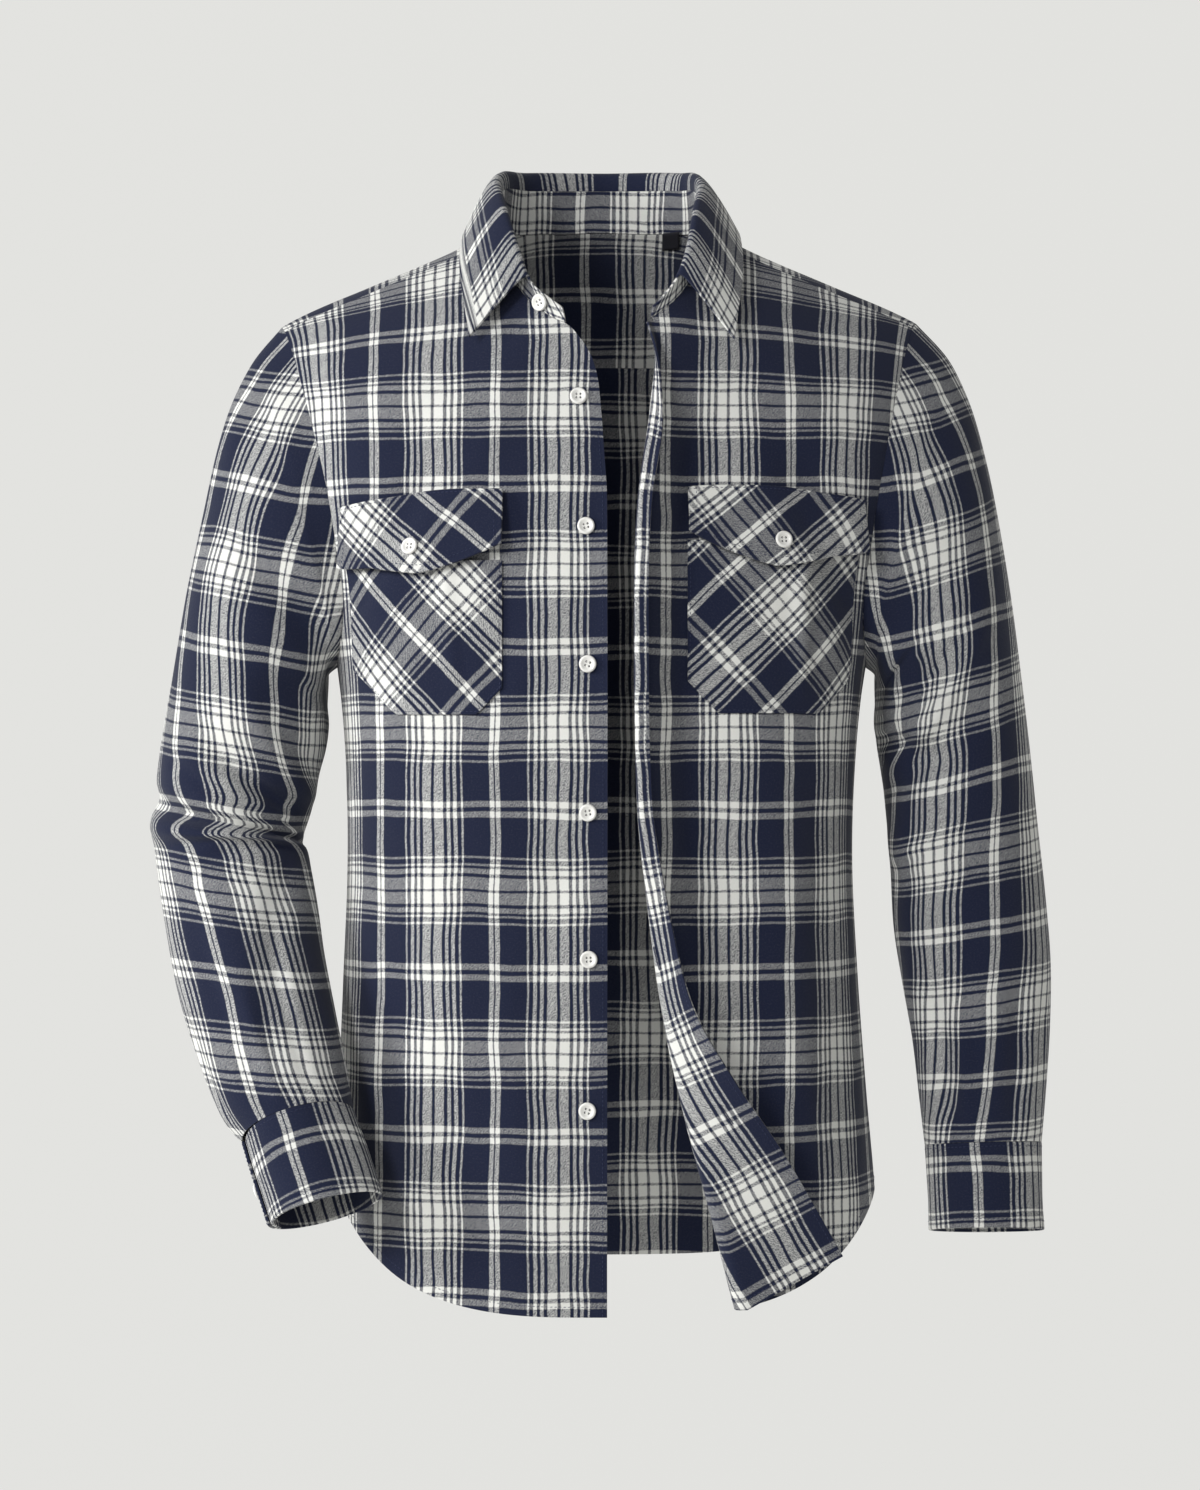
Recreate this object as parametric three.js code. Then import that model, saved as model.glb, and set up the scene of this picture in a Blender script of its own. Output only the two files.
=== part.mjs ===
// A long-sleeved flannel shirt, worn open and filled out with no wearer, in millimetres with +Z up.
// The front faces -Y and +X is the wearer's left. The origin is the middle of the neck opening,
// level with the place where the collar meets the tops of the shoulders.
// In the tables and the code left and right are the sides of the front view; in the names of the
// pieces they are the wearer's.
import * as THREE from "three";

// Cloth
const CLOTH = 1.5; // wall of one layer of brushed flannel
const DOUBLE = 2.2; // wall of the pieces sewn from two layers: collar, stand and cuffs
const PATCH = 1.2; // wall of what lies on a panel: pockets, flaps and facing
const SEAM = 0.3; // gap between two pieces at a seam
const LIE = 0.7; // gap under a piece that lies on a curved panel

// The worn body: half widths and depths from the side seams, at heights below the neck
const TORSO = [
  { z: 60, left: 246, right: 242, front: 52, back: 98 },
  { z: 0, left: 243, right: 238, front: 62, back: 103 },
  { z: -55, left: 236, right: 231, front: 79, back: 107 },
  { z: -110, left: 225, right: 223, front: 94, back: 111 },
  { z: -160, left: 213, right: 214, front: 107, back: 112 },
  { z: -210, left: 202, right: 204, front: 116, back: 111 },
  { z: -260, left: 191, right: 192, front: 121, back: 108 },
  { z: -300, left: 184, right: 183, front: 122, back: 104 },
  { z: -360, left: 179, right: 177, front: 120, back: 98 },
  { z: -430, left: 178, right: 175, front: 116, back: 95 },
  { z: -510, left: 181, right: 179, front: 115, back: 98 },
  { z: -590, left: 184, right: 185, front: 116, back: 103 },
  { z: -660, left: 185, right: 191, front: 117, back: 107 },
  { z: -750, left: 185, right: 195, front: 117, back: 109 },
];

// The line of the shoulders, where front and back meet, from the middle outwards
const RIDGE = [
  { x: -40, z: 42 },
  { x: 0, z: 53 },
  { x: 40, z: 42 },
  { x: 72, z: 18 },
  { x: 100, z: 1 },
  { x: 160, z: -25 },
  { x: 205, z: -44 },
  { x: 228, z: -57 },
  { x: 250, z: -78 },
];
const SHOULDER_ROUND = 130; // height over which the shoulder rounds down into the chest
const SHOULDER_BEND = 1.54; // how tightly it rounds at the top
const BELOW_SHOULDER = 200; // height for each unit of fall below the rounding
const SQUARENESS = 0.035; // how much squarer than an ellipse the body is in plan

// Armhole: half-angle round the body from the middle of the front, from shoulder (0) to underarm (1)
const ARMHOLE = [
  { part: 0, angle: 69 },
  { part: 0.2, angle: 64 },
  { part: 0.4, angle: 60.5 },
  { part: 0.6, angle: 61 },
  { part: 0.8, angle: 69 },
  { part: 1, angle: 90 },
];
const UNDERARM_Z = -292;

// Neckline and seams
const NECK_HALF = 72;
const NECK_BACK = 62;
const NECK_FRONT = 80;
const NECK_SQUARE = 1.4; // how much squarer than an ellipse the front of the neckline is
const YOKE_FRONT = 0.13; // fall of the yoke's front seam below the ridge, on the front
const YOKE_BACK_MIDDLE_Z = -73;
const YOKE_BACK_ARM_Z = -86;
const NECK_END = { left: 160, right: 152 }; // degrees round from the nape to each front corner

// Front edge of the button side, from the neck down
const BUTTON_EDGE = [
  { z: -57, x: -24.5 },
  { z: -77, x: -9.5 },
  { z: -94, x: -3.5 },
  { z: -114, x: -1 },
  { z: -148, x: 1.5 },
  { z: -182, x: 3.4 },
  { z: -750, x: 3.4 },
];

// Turned-back edge of the buttonhole side: fold line, width turned back, and angle it turns through
const TURN_BACK = [
  { z: -50, x: 33, width: 4, turn: 60, radius: 3 },
  { z: -76, x: 41, width: 13, turn: 95, radius: 3.5 },
  { z: -112, x: 37, width: 16, turn: 115, radius: 3.5 },
  { z: -180, x: 27, width: 14, turn: 135, radius: 3.5 },
  { z: -250, x: 24, width: 13, turn: 145, radius: 3.5 },
  { z: -385, x: 26, width: 14, turn: 140, radius: 3.5 },
  { z: -450, x: 33, width: 20, turn: 118, radius: 4 },
  { z: -520, x: 44, width: 33, turn: 124, radius: 4.5 },
  { z: -590, x: 59, width: 51, turn: 152, radius: 5 },
  { z: -655, x: 76, width: 72, turn: 170, radius: 5.5 },
  { z: -735, x: 96, width: 95, turn: 176, radius: 6 },
  { z: -765, x: 104, width: 103, turn: 177, radius: 6 },
];
const VALLEY = { depth: 13, offset: 24, width: 22, top: -60, bottom: -560 };

// Shirt-tail hem
const HEM = { front: -732, back: -716, side: -655, sharpness: 1.6 };

// Soft folds of the body, as troughs (minus) and ridges (plus) between two points in the front view
const FRONT_FOLDS = [
  { x1: -178, z1: -250, x2: -110, z2: -150, width: 16, depth: -4 },
  { x1: -172, z1: -330, x2: -60, z2: -420, width: 24, depth: 3 },
  { x1: -176, z1: -420, x2: -120, z2: -560, width: 20, depth: -4 },
  { x1: -60, z1: -520, x2: -52, z2: -720, width: 22, depth: 3.5 },
  { x1: -120, z1: -540, x2: -128, z2: -700, width: 20, depth: 3.5 },
  { x1: 178, z1: -250, x2: 120, z2: -140, width: 16, depth: -4 },
  { x1: 120, z1: -360, x2: 132, z2: -640, width: 22, depth: 4 },
  { x1: 158, z1: -400, x2: 166, z2: -620, width: 16, depth: -4 },
  { x1: 90, z1: -420, x2: 100, z2: -560, width: 18, depth: -3 },
];
const BACK_FOLDS = [
  { x1: -170, z1: -260, x2: -90, z2: -170, width: 20, depth: -4 },
  { x1: 170, z1: -260, x2: 90, z2: -170, width: 20, depth: -4 },
  { x1: -110, z1: -330, x2: -125, z2: -690, width: 24, depth: 5 },
  { x1: -40, z1: -380, x2: -48, z2: -710, width: 22, depth: -4 },
  { x1: 42, z1: -350, x2: 50, z2: -710, width: 22, depth: 4 },
  { x1: 118, z1: -340, x2: 132, z2: -690, width: 24, depth: -5 },
];

// Sleeve sections from the shoulder to the cuff: both ends of each in the front view, where its
// middle stands front to back, and its half depth
const LEFT_SLEEVE = [
  { outX: -226, outZ: -56, inX: -184, inZ: -292, y: -2, depth: 62 },
  { outX: -246, outZ: -80, inX: -191, inZ: -298, y: -1, depth: 66 },
  { outX: -259, outZ: -106, inX: -193, inZ: -308, y: -1, depth: 68 },
  { outX: -270, outZ: -143, inX: -193, inZ: -321, y: 0, depth: 69 },
  { outX: -279, outZ: -186, inX: -192, inZ: -334, y: 1, depth: 68 },
  { outX: -290, outZ: -238, inX: -194, inZ: -350, y: 3, depth: 66 },
  { outX: -301, outZ: -300, inX: -199, inZ: -369, y: 6, depth: 62 },
  { outX: -310, outZ: -350, inX: -203, inZ: -390, y: 9, depth: 59 },
  { outX: -315, outZ: -396, inX: -209, inZ: -410, y: 9, depth: 56 },
  { outX: -312, outZ: -434, inX: -205, inZ: -428, y: 5, depth: 54 },
  { outX: -303, outZ: -480, inX: -199, inZ: -455, y: -12, depth: 52 },
  { outX: -292, outZ: -522, inX: -193, inZ: -488, y: -36, depth: 50 },
  { outX: -277, outZ: -562, inX: -184, inZ: -526, y: -61, depth: 48 },
  { outX: -259, outZ: -600, inX: -174, inZ: -568, y: -83, depth: 44 },
  { outX: -244, outZ: -617, inX: -169, inZ: -593, y: -94, depth: 37 },
];
const RIGHT_SLEEVE = [
  { outX: 220, outZ: -55, inX: 183.5, inZ: -292, y: -2, depth: 62 },
  { outX: 243, outZ: -80, inX: 190.5, inZ: -298, y: -1, depth: 66 },
  { outX: 256, outZ: -106, inX: 192, inZ: -308, y: -1, depth: 68 },
  { outX: 267, outZ: -143, inX: 192, inZ: -321, y: 0, depth: 69 },
  { outX: 276, outZ: -184, inX: 191, inZ: -334, y: 1, depth: 68 },
  { outX: 285, outZ: -236, inX: 193, inZ: -349, y: 2, depth: 66 },
  { outX: 293, outZ: -294, inX: 196, inZ: -368, y: 3, depth: 62 },
  { outX: 300, outZ: -352, inX: 199, inZ: -394, y: 3, depth: 58 },
  { outX: 305, outZ: -402, inX: 202, inZ: -432, y: 1, depth: 55 },
  { outX: 310, outZ: -452, inX: 204, inZ: -474, y: -4, depth: 53 },
  { outX: 313, outZ: -498, inX: 210, inZ: -514, y: -10, depth: 51 },
  { outX: 312, outZ: -540, inX: 216, inZ: -550, y: -16, depth: 48 },
  { outX: 309, outZ: -580, inX: 220, inZ: -587, y: -22, depth: 44 },
  { outX: 305, outZ: -622, inX: 224, inZ: -624, y: -27, depth: 37 },
];
const LEFT_CUFF = [
  { outX: -244, outZ: -617, inX: -169, inZ: -593, y: -94, depth: 37 },
  { outX: -238, outZ: -635, inX: -161, inZ: -612, y: -101, depth: 37 },
  { outX: -231, outZ: -654, inX: -154, inZ: -631, y: -108, depth: 37 },
  { outX: -225, outZ: -671, inX: -148, inZ: -649, y: -114, depth: 37 },
];
const RIGHT_CUFF = [
  { outX: 305, outZ: -622, inX: 224, inZ: -624, y: -27, depth: 37 },
  { outX: 305, outZ: -642, inX: 225, inZ: -644, y: -30, depth: 37 },
  { outX: 305, outZ: -662, inX: 226, inZ: -664, y: -33, depth: 37 },
  { outX: 306, outZ: -682, inX: 226, inZ: -682, y: -36, depth: 37 },
];

// Creases of the sleeves: from and to, in degrees round (0 outside, 90 front) and share of length
const LEFT_CREASES = [
  { a1: 150, s1: 0.52, a2: 70, s2: 0.45, width: 13, depth: -8 },
  { a1: 165, s1: 0.47, a2: 95, s2: 0.38, width: 14, depth: 5 },
  { a1: 160, s1: 0.6, a2: 80, s2: 0.56, width: 15, depth: 5 },
  { a1: 150, s1: 0.1, a2: 70, s2: 0.26, width: 18, depth: -5 },
  { a1: 140, s1: 0.68, a2: 100, s2: 0.9, width: 12, depth: -4 },
  { a1: 200, s1: 0.5, a2: 280, s2: 0.42, width: 15, depth: -5 },
  { a1: 60, s1: 0.75, a2: 75, s2: 0.97, width: 10, depth: -3 },
  { a1: 250, s1: 0.75, a2: 262, s2: 0.97, width: 12, depth: -3 },
];
const RIGHT_CREASES = [
  { a1: 150, s1: 0.1, a2: 70, s2: 0.3, width: 18, depth: -5 },
  { a1: 165, s1: 0.3, a2: 85, s2: 0.4, width: 16, depth: -4 },
  { a1: 160, s1: 0.5, a2: 60, s2: 0.46, width: 16, depth: -4 },
  { a1: 165, s1: 0.58, a2: 100, s2: 0.66, width: 15, depth: 4 },
  { a1: 210, s1: 0.5, a2: 290, s2: 0.44, width: 16, depth: -5 },
  { a1: 135, s1: 0.78, a2: 128, s2: 0.98, width: 11, depth: -4 },
  { a1: 60, s1: 0.8, a2: 64, s2: 0.98, width: 10, depth: -3 },
];

// Collar: how far the stand rises, and where the leaf's free edge lies on the shoulders
const STAND_TOP = {
  left: [
    { turn: -45, x: 50, y: 45, z: 47 },
    { turn: 0, x: 0, y: 63, z: 49 },
    { turn: 45, x: -50, y: 45, z: 47 },
    { turn: 90, x: -71, y: 2, z: 42 },
    { turn: 120, x: -66, y: -38, z: 18 },
    { turn: 135, x: -57, y: -60, z: -10 },
    { turn: 145, x: -50, y: -70, z: -29 },
    { turn: 153, x: -36, y: -76, z: -41 },
    { turn: 160, x: -27, y: -79, z: -48 },
  ],
  right: [
    { turn: -45, x: -50, y: 45, z: 47 },
    { turn: 0, x: 0, y: 63, z: 49 },
    { turn: 45, x: 50, y: 45, z: 47 },
    { turn: 90, x: 68, y: 2, z: 40 },
    { turn: 115, x: 64, y: -36, z: 17 },
    { turn: 128, x: 59, y: -58, z: -8 },
    { turn: 139, x: 52, y: -69, z: -27 },
    { turn: 146, x: 42, y: -75, z: -40 },
    { turn: 152, x: 35, y: -77, z: -47 },
  ],
};
// The leaf: where its edge lies, and the handles of its curve over the roll
const LEAF = {
  left: [
    { turn: -40, x: 60, fall: -0.38, lift: 9, up: 25, over: 9, out: 17 },
    { turn: 0, x: 0, fall: -0.53, lift: 9, up: 25, over: 9, out: 17 },
    { turn: 40, x: -60, fall: -0.38, lift: 9, up: 25, over: 9, out: 17 },
    { turn: 75, x: -87, fall: -0.17, lift: 7, up: 23, over: 8, out: 11 },
    { turn: 100, x: -93, fall: 0.04, lift: 6, up: 17, over: 7, out: 9 },
    { turn: 122, x: -95, fall: 0.36, lift: 7, up: 11, over: 5, out: 6 },
    { turn: 145, x: -88, fall: 0.74, lift: 9, up: 5, over: 2, out: 4 },
  ],
  right: [
    { turn: -40, x: -60, fall: -0.38, lift: 9, up: 25, over: 9, out: 17 },
    { turn: 0, x: 0, fall: -0.53, lift: 9, up: 25, over: 9, out: 17 },
    { turn: 40, x: 60, fall: -0.38, lift: 9, up: 25, over: 9, out: 17 },
    { turn: 75, x: 86, fall: -0.17, lift: 7, up: 23, over: 8, out: 11 },
    { turn: 98, x: 92, fall: 0.05, lift: 6, up: 17, over: 7, out: 9 },
    { turn: 118, x: 94, fall: 0.37, lift: 7, up: 11, over: 5, out: 6 },
    { turn: 139, x: 88, fall: 0.74, lift: 9, up: 5, over: 2, out: 4 },
  ],
};

// Pockets and flaps in the front view: corners, and how much the lower corners are cut off
const LEFT_POCKET = { x1: -172, x2: -67, lean: 4, top: -222, bottom: -326, cut1: 30, cut2: 18 };
const RIGHT_POCKET = { x1: 57.5, x2: 172, lean: -5, top: -208, bottom: -325, cut1: 22, cut2: 22 };
const LEFT_FLAP = { x1: -176, x2: -66.5, top1: -184, top2: -174, end1: -224, end2: -212, tip: -231 };
const RIGHT_FLAP = { x1: 56, x2: 177, top1: -172, top2: -179, end1: -202, end2: -213, tip: -226 };
const FLAP_CURVE = 7; // rise of the flap's top edge between its ends

// Buttons
const BUTTON = { radius: 5.9, thickness: 2.2, sides: 14, holes: 1.3, hole: 0.75 };
const FRONT_BUTTONS = [
  { x: -16, z: -110 },
  { x: -10.8, z: -199 },
  { x: -9.6, z: -292 },
  { x: -9.5, z: -392 },
  { x: -9, z: -491 },
  { x: -10, z: -593 },
];
const FLAP_BUTTONS = { left: { x: -128, z: -217 }, right: { x: 119, z: -211 } };

// Neck label: plain, sewn under the stand inside the yoke
const LABEL = { x: 50, width: 12, height: 10, wall: 1 };

// Mesh fineness
const FRONT_COLUMNS = 13;
const FLAP_COLUMNS = 8;
const ROLL_COLUMNS = 4; // of them, the ones round the roll
const LOWER_ROWS = 12;
const UPPER_ROWS = 10;
const CORNER_ROW = 6; // upper row that ends on the front corner of the neckline
const BACK_COLUMNS = 22;
const SLEEVE_ROWS = 22;

const NAVY = { color: 0x2d3558, roughness: 0.95, metalness: 0 };
const LABEL_CLOTH = { color: 0x23232b, roughness: 0.7, metalness: 0 };
const SHELL_WHITE = { color: 0xf0efea, roughness: 0.4, metalness: 0 };

const radians = THREE.MathUtils.degToRad;
const lerp = THREE.MathUtils.lerp;
const clamp = THREE.MathUtils.clamp;
const smooth = (value, low, high) => THREE.MathUtils.smoothstep(value, low, high);
const vector = (x, y, z) => new THREE.Vector3(x, y, z);

// One column of a table at a value of its key column: a smooth curve through the rows.
function track(rows, key, column, at) {
  const rising = rows[0][key] < rows[rows.length - 1][key];
  const sorted = rising ? rows : [...rows].reverse();
  const last = sorted.length - 1;
  const value = clamp(at, sorted[0][key], sorted[last][key]);
  let i = 0;
  while (i < last - 1 && value > sorted[i + 1][key]) i += 1;
  const slope = (k) => {
    const before = sorted[Math.max(0, k - 1)];
    const after = sorted[Math.min(last, k + 1)];
    return (after[column] - before[column]) / (after[key] - before[key]);
  };
  const span = sorted[i + 1][key] - sorted[i][key];
  const t = (value - sorted[i][key]) / span;
  const [a, b] = [sorted[i][column], sorted[i + 1][column]];
  const [m, n] = [slope(i) * span, slope(i + 1) * span];
  return (
    a * (1 + 2 * t) * (1 - t) ** 2 + m * t * (1 - t) ** 2 + b * t * t * (3 - 2 * t) - n * t * t * (1 - t)
  );
}

// A little squarer than an ellipse: sideways and outward shares at an angle from the middle.
const sideways = (angle) => (Math.sin(angle) + SQUARENESS * Math.sin(3 * angle)) / (1 - SQUARENESS);
const outward = (angle) => (Math.cos(angle) - SQUARENESS * Math.cos(3 * angle)) / (1 - SQUARENESS);
const halfWidth = (z, side) => track(TORSO, "z", side < 0 ? "left" : "right", z);
const ridgeZ = (x) => track(RIDGE, "x", "z", Math.abs(x));

// Drop below the ridge at a fall, and the fall at a drop: rounded at first, then straight down.
const dropAt = (fall) =>
  fall < 1 ? SHOULDER_ROUND * fall ** SHOULDER_BEND : SHOULDER_ROUND + BELOW_SHOULDER * (fall - 1);
const fallAt = (drop) =>
  drop < SHOULDER_ROUND
    ? (Math.max(0, drop) / SHOULDER_ROUND) ** (1 / SHOULDER_BEND)
    : 1 + (drop - SHOULDER_ROUND) / BELOW_SHOULDER;

// The angle whose point lies at x at a height.
function angleAt(x, z) {
  const share = clamp(Math.abs(x) / halfWidth(z, x), 0, 1);
  let [low, high] = [0, Math.PI / 2];
  for (let i = 0; i < 30; i += 1) {
    const middle = (low + high) / 2;
    if (sideways(middle) < share) low = middle;
    else high = middle;
  }
  return Math.sign(x) * low;
}

// Height of the soft folds at a point of the front view: each is a ridge or trough that fades out
// at its ends.
function foldsAt(folds, x, z) {
  let height = 0;
  for (const f of folds) {
    const [dx, dz] = [f.x2 - f.x1, f.z2 - f.z1];
    const along = ((x - f.x1) * dx + (z - f.z1) * dz) / (dx * dx + dz * dz);
    const away = Math.hypot(x - f.x1 - along * dx, z - f.z1 - along * dz);
    const fade = smooth(along, -0.25, 0.25) * (1 - smooth(along, 0.75, 1.25));
    height += f.depth * fade * Math.exp(-((away / f.width) ** 2));
  }
  return height;
}

// The trough beside the turned-back edge.
function valleyAt(x, z) {
  const middle = track(TURN_BACK, "z", "x", z) + VALLEY.offset;
  const begins = smooth(-z, -VALLEY.top, -VALLEY.top + 60);
  const fade = begins * (1 - smooth(-z, -VALLEY.bottom - 160, -VALLEY.bottom));
  return VALLEY.depth * fade * Math.exp(-(((x - middle) / VALLEY.width) ** 2));
}

// A point of the body's outer surface at an angle from the middle and a fall from the ridge:
// falls above 0 are on the front, below 0 on the back.
function body(angle, fall) {
  const drop = dropAt(Math.abs(fall));
  let z = -drop;
  let x = 0;
  for (let i = 0; i < 12; i += 1) {
    x = halfWidth(z, angle) * sideways(angle);
    z = ridgeZ(x) - drop;
  }
  const front = fall >= 0;
  const reach = track(TORSO, "z", front ? "front" : "back", z) * outward(angle);
  const round = Math.sin((Math.PI / 2) * Math.min(1, Math.abs(fall)));
  const flat = smooth(Math.abs(fall), 0.2, 0.7) * smooth(Math.cos(angle), 0.02, 0.4);
  const folds = foldsAt(front ? FRONT_FOLDS : BACK_FOLDS, x, z) * flat;
  const valley = front ? valleyAt(x, z) : 0;
  const y = (front ? -1 : 1) * (reach * round + folds * (0.3 + 0.7 * outward(angle)) - valley);
  return vector(x + Math.sign(x) * folds * 0.7 * Math.abs(Math.sin(angle)), y, z);
}
const bodyAtZ = (angle, z, side) => {
  const x = halfWidth(z, angle) * sideways(angle);
  return body(angle, side * fallAt(ridgeZ(x) - z));
};
const bodyAtXZ = (x, z, side) => bodyAtZ(angleAt(x, z), z, side);

// The outward normal of the body there, from two small steps.
function bodyNormal(angle, fall) {
  const step = 0.01;
  const before = body(clamp(angle - step, -1.56, 1.56), fall);
  const turned = body(clamp(angle + step, -1.56, 1.56), fall).sub(before);
  const fallen = body(angle, fall + step).sub(body(angle, fall - step));
  return turned.cross(fallen).normalize().multiplyScalar(-1);
}

// Armhole of one side: angle and fall at a part from the shoulder (0) to the underarm (1).
function armhole(side, part, face) {
  const angle = side * radians(track(ARMHOLE, "part", "angle", part));
  const topX = halfWidth(-57, side) * sideways(radians(ARMHOLE[0].angle));
  const top = ridgeZ(topX);
  const z = lerp(top, UNDERARM_Z, (1 - Math.cos(Math.PI * part)) / 2);
  const x = halfWidth(z, side) * sideways(Math.abs(angle));
  return { angle, fall: face * fallAt(ridgeZ(x) - z) };
}

// The armhole's part at which it has a fall.
function armholePart(side, fall, face) {
  let [low, high] = [0, 1];
  for (let i = 0; i < 30; i += 1) {
    const middle = (low + high) / 2;
    if (Math.abs(armhole(side, middle, face).fall) < fall) low = middle;
    else high = middle;
  }
  return low;
}

// Neckline at a turn in degrees from the nape, minus to the wearer's right.
function neckline(turn) {
  const around = radians(turn);
  const x = NECK_HALF * Math.sin(around);
  const behind = Math.cos(around);
  const y = behind > 0 ? NECK_BACK * behind : -NECK_FRONT * (1 - (1 + behind) ** NECK_SQUARE);
  const column = y > 0 ? "back" : "front";
  let z = ridgeZ(x);
  let angle = 0;
  let fall = 0;
  for (let i = 0; i < 40; i += 1) {
    angle = angleAt(x, z);
    const share = clamp(Math.abs(y) / (track(TORSO, "z", column, z) * outward(angle)), 0, 0.999);
    fall = (2 / Math.PI) * Math.asin(share);
    z = lerp(z, ridgeZ(x) - dropAt(fall), 0.5);
  }
  return { angle, fall: y > 0 ? -fall : fall };
}
const hemZ = (angle, face) =>
  lerp(face > 0 ? HEM.front : HEM.back, HEM.side, (Math.sin(angle) ** 2) ** HEM.sharpness);

const key = (p) => `${Math.round(p.x * 500)},${Math.round(p.y * 500)},${Math.round(p.z * 500)}`;
const cells = (grid, wrap) => {
  const columns = grid[0].length;
  const list = [];
  for (let j = 0; j < grid.length - 1; j += 1) {
    for (let i = 0; i < (wrap ? columns : columns - 1); i += 1) {
      const n = (i + 1) % columns;
      list.push([grid[j][i], grid[j][n], grid[j + 1][n]], [grid[j][i], grid[j + 1][n], grid[j + 1][i]]);
    }
  }
  return list;
};

// Outward normals at the points of several sheets, shared where sheets meet, so that seams are mitred.
function sharedNormals(sheets) {
  const sums = new Map();
  for (const { grids, wrap } of sheets) {
    for (const [a, b, c] of grids.flatMap((grid) => cells(grid, wrap))) {
      const normal = b.clone().sub(a).cross(c.clone().sub(a));
      for (const p of [a, b, c]) {
        if (!sums.has(key(p))) sums.set(key(p), vector(0, 0, 0));
        sums.get(key(p)).add(normal);
      }
    }
  }
  for (const sum of sums.values()) sum.normalize();
  return sums;
}

// A closed wall under a sheet: its edges are cut back by a distance, and its thickness grows inwards.
function thicken(grids, thickness, normals, wrap = false, cut = SEAM / 2 + 0.03) {
  const index = new Map();
  const points = [];
  const number = (p) => {
    if (!index.has(key(p))) {
      index.set(key(p), points.length);
      points.push(p.clone());
    }
    return index.get(key(p));
  };
  const triangles = grids.flatMap((grid) => cells(grid, wrap)).map((corners) => corners.map(number));
  const edges = new Map();
  for (const [a, b, c] of triangles) {
    for (const [from, to, other] of [
      [a, b, c],
      [b, c, a],
      [c, a, b],
    ])
      edges.set(`${from}-${to}`, { from, to, other });
  }
  const border = [...edges.values()].filter(({ from, to }) => !edges.has(`${to}-${from}`));
  const pulls = new Map();
  for (const { from, to, other } of border) {
    const along = points[to].clone().sub(points[from]).normalize();
    const inward = points[other].clone().sub(points[from]);
    inward.addScaledVector(along, -inward.dot(along)).normalize();
    for (const k of [from, to]) {
      if (!pulls.has(k)) pulls.set(k, []);
      pulls.get(k).push(inward);
    }
  }
  const inner = points.map((p) => p.clone().addScaledVector(normals.get(key(p)), -thickness));
  for (const [k, list] of pulls) {
    const pull = list[0].clone().add(list[1]);
    pull.divideScalar(Math.max(0.5, 1 + list[0].dot(list[1]))).multiplyScalar(cut);
    points[k].add(pull);
    inner[k].add(pull);
  }
  const count = points.length;
  const faces = triangles.flatMap(([a, b, c]) => [a, b, c, a + count, c + count, b + count]);
  for (const { from, to } of border) faces.push(from, from + count, to + count, from, to + count, to);
  const geometry = new THREE.BufferGeometry();
  const positions = [...points, ...inner].flatMap((p) => [p.x, p.y, p.z]);
  geometry.setAttribute("position", new THREE.Float32BufferAttribute(positions, 3));
  geometry.setIndex(faces);
  geometry.computeVertexNormals();
  return geometry;
}

const shirt = new THREE.Group();
function piece(name, geometry, finish = NAVY) {
  const mesh = new THREE.Mesh(geometry, new THREE.MeshStandardMaterial(finish));
  mesh.name = name;
  shirt.add(mesh);
  return mesh;
}

const grid = (rows, columns, point) =>
  Array.from({ length: rows + 1 }, (_, j) =>
    Array.from({ length: columns + 1 }, (_, i) => point(i / columns, j / rows, i, j)),
  );
const mirrored = (rows) => rows.map((row) => [...row].reverse());

// Turn of the neckline at which the yoke's front seam begins.
function yokeTurn(side) {
  let [low, high] = [90, 130];
  for (let i = 0; i < 24; i += 1) {
    const middle = (low + high) / 2;
    if (neckline(side * middle).fall < YOKE_FRONT) low = middle;
    else high = middle;
  }
  return low;
}
const YOKE_TURN = { left: yokeTurn(-1), right: yokeTurn(1) };
const sideName = (side) => (side < 0 ? "left" : "right");

// Ends of a front's upper rows: up the front edge to the neck corner and round the neckline to the
// yoke, and up the armhole.
function frontEnds(side, edgeX, share) {
  const corner = CORNER_ROW / UPPER_ROWS;
  const neckEnd = NECK_END[sideName(side)];
  const yokeEnd = YOKE_TURN[sideName(side)];
  let inner = neckline(side * lerp(neckEnd, yokeEnd, Math.max(0, share - corner) / (1 - corner)));
  if (share < corner) {
    const cornerZ = body(inner.angle, inner.fall).z;
    const z = lerp(UNDERARM_Z, cornerZ, share / corner);
    const x = edgeX(z);
    inner = { angle: angleAt(x, z), fall: fallAt(ridgeZ(x) - z) };
  }
  const outer = armhole(side, lerp(1, armholePart(side, YOKE_FRONT, 1), share), 1);
  if (share > 0.999) {
    inner.fall = YOKE_FRONT;
    outer.fall = YOKE_FRONT;
  }
  return { inner, outer };
}

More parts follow.
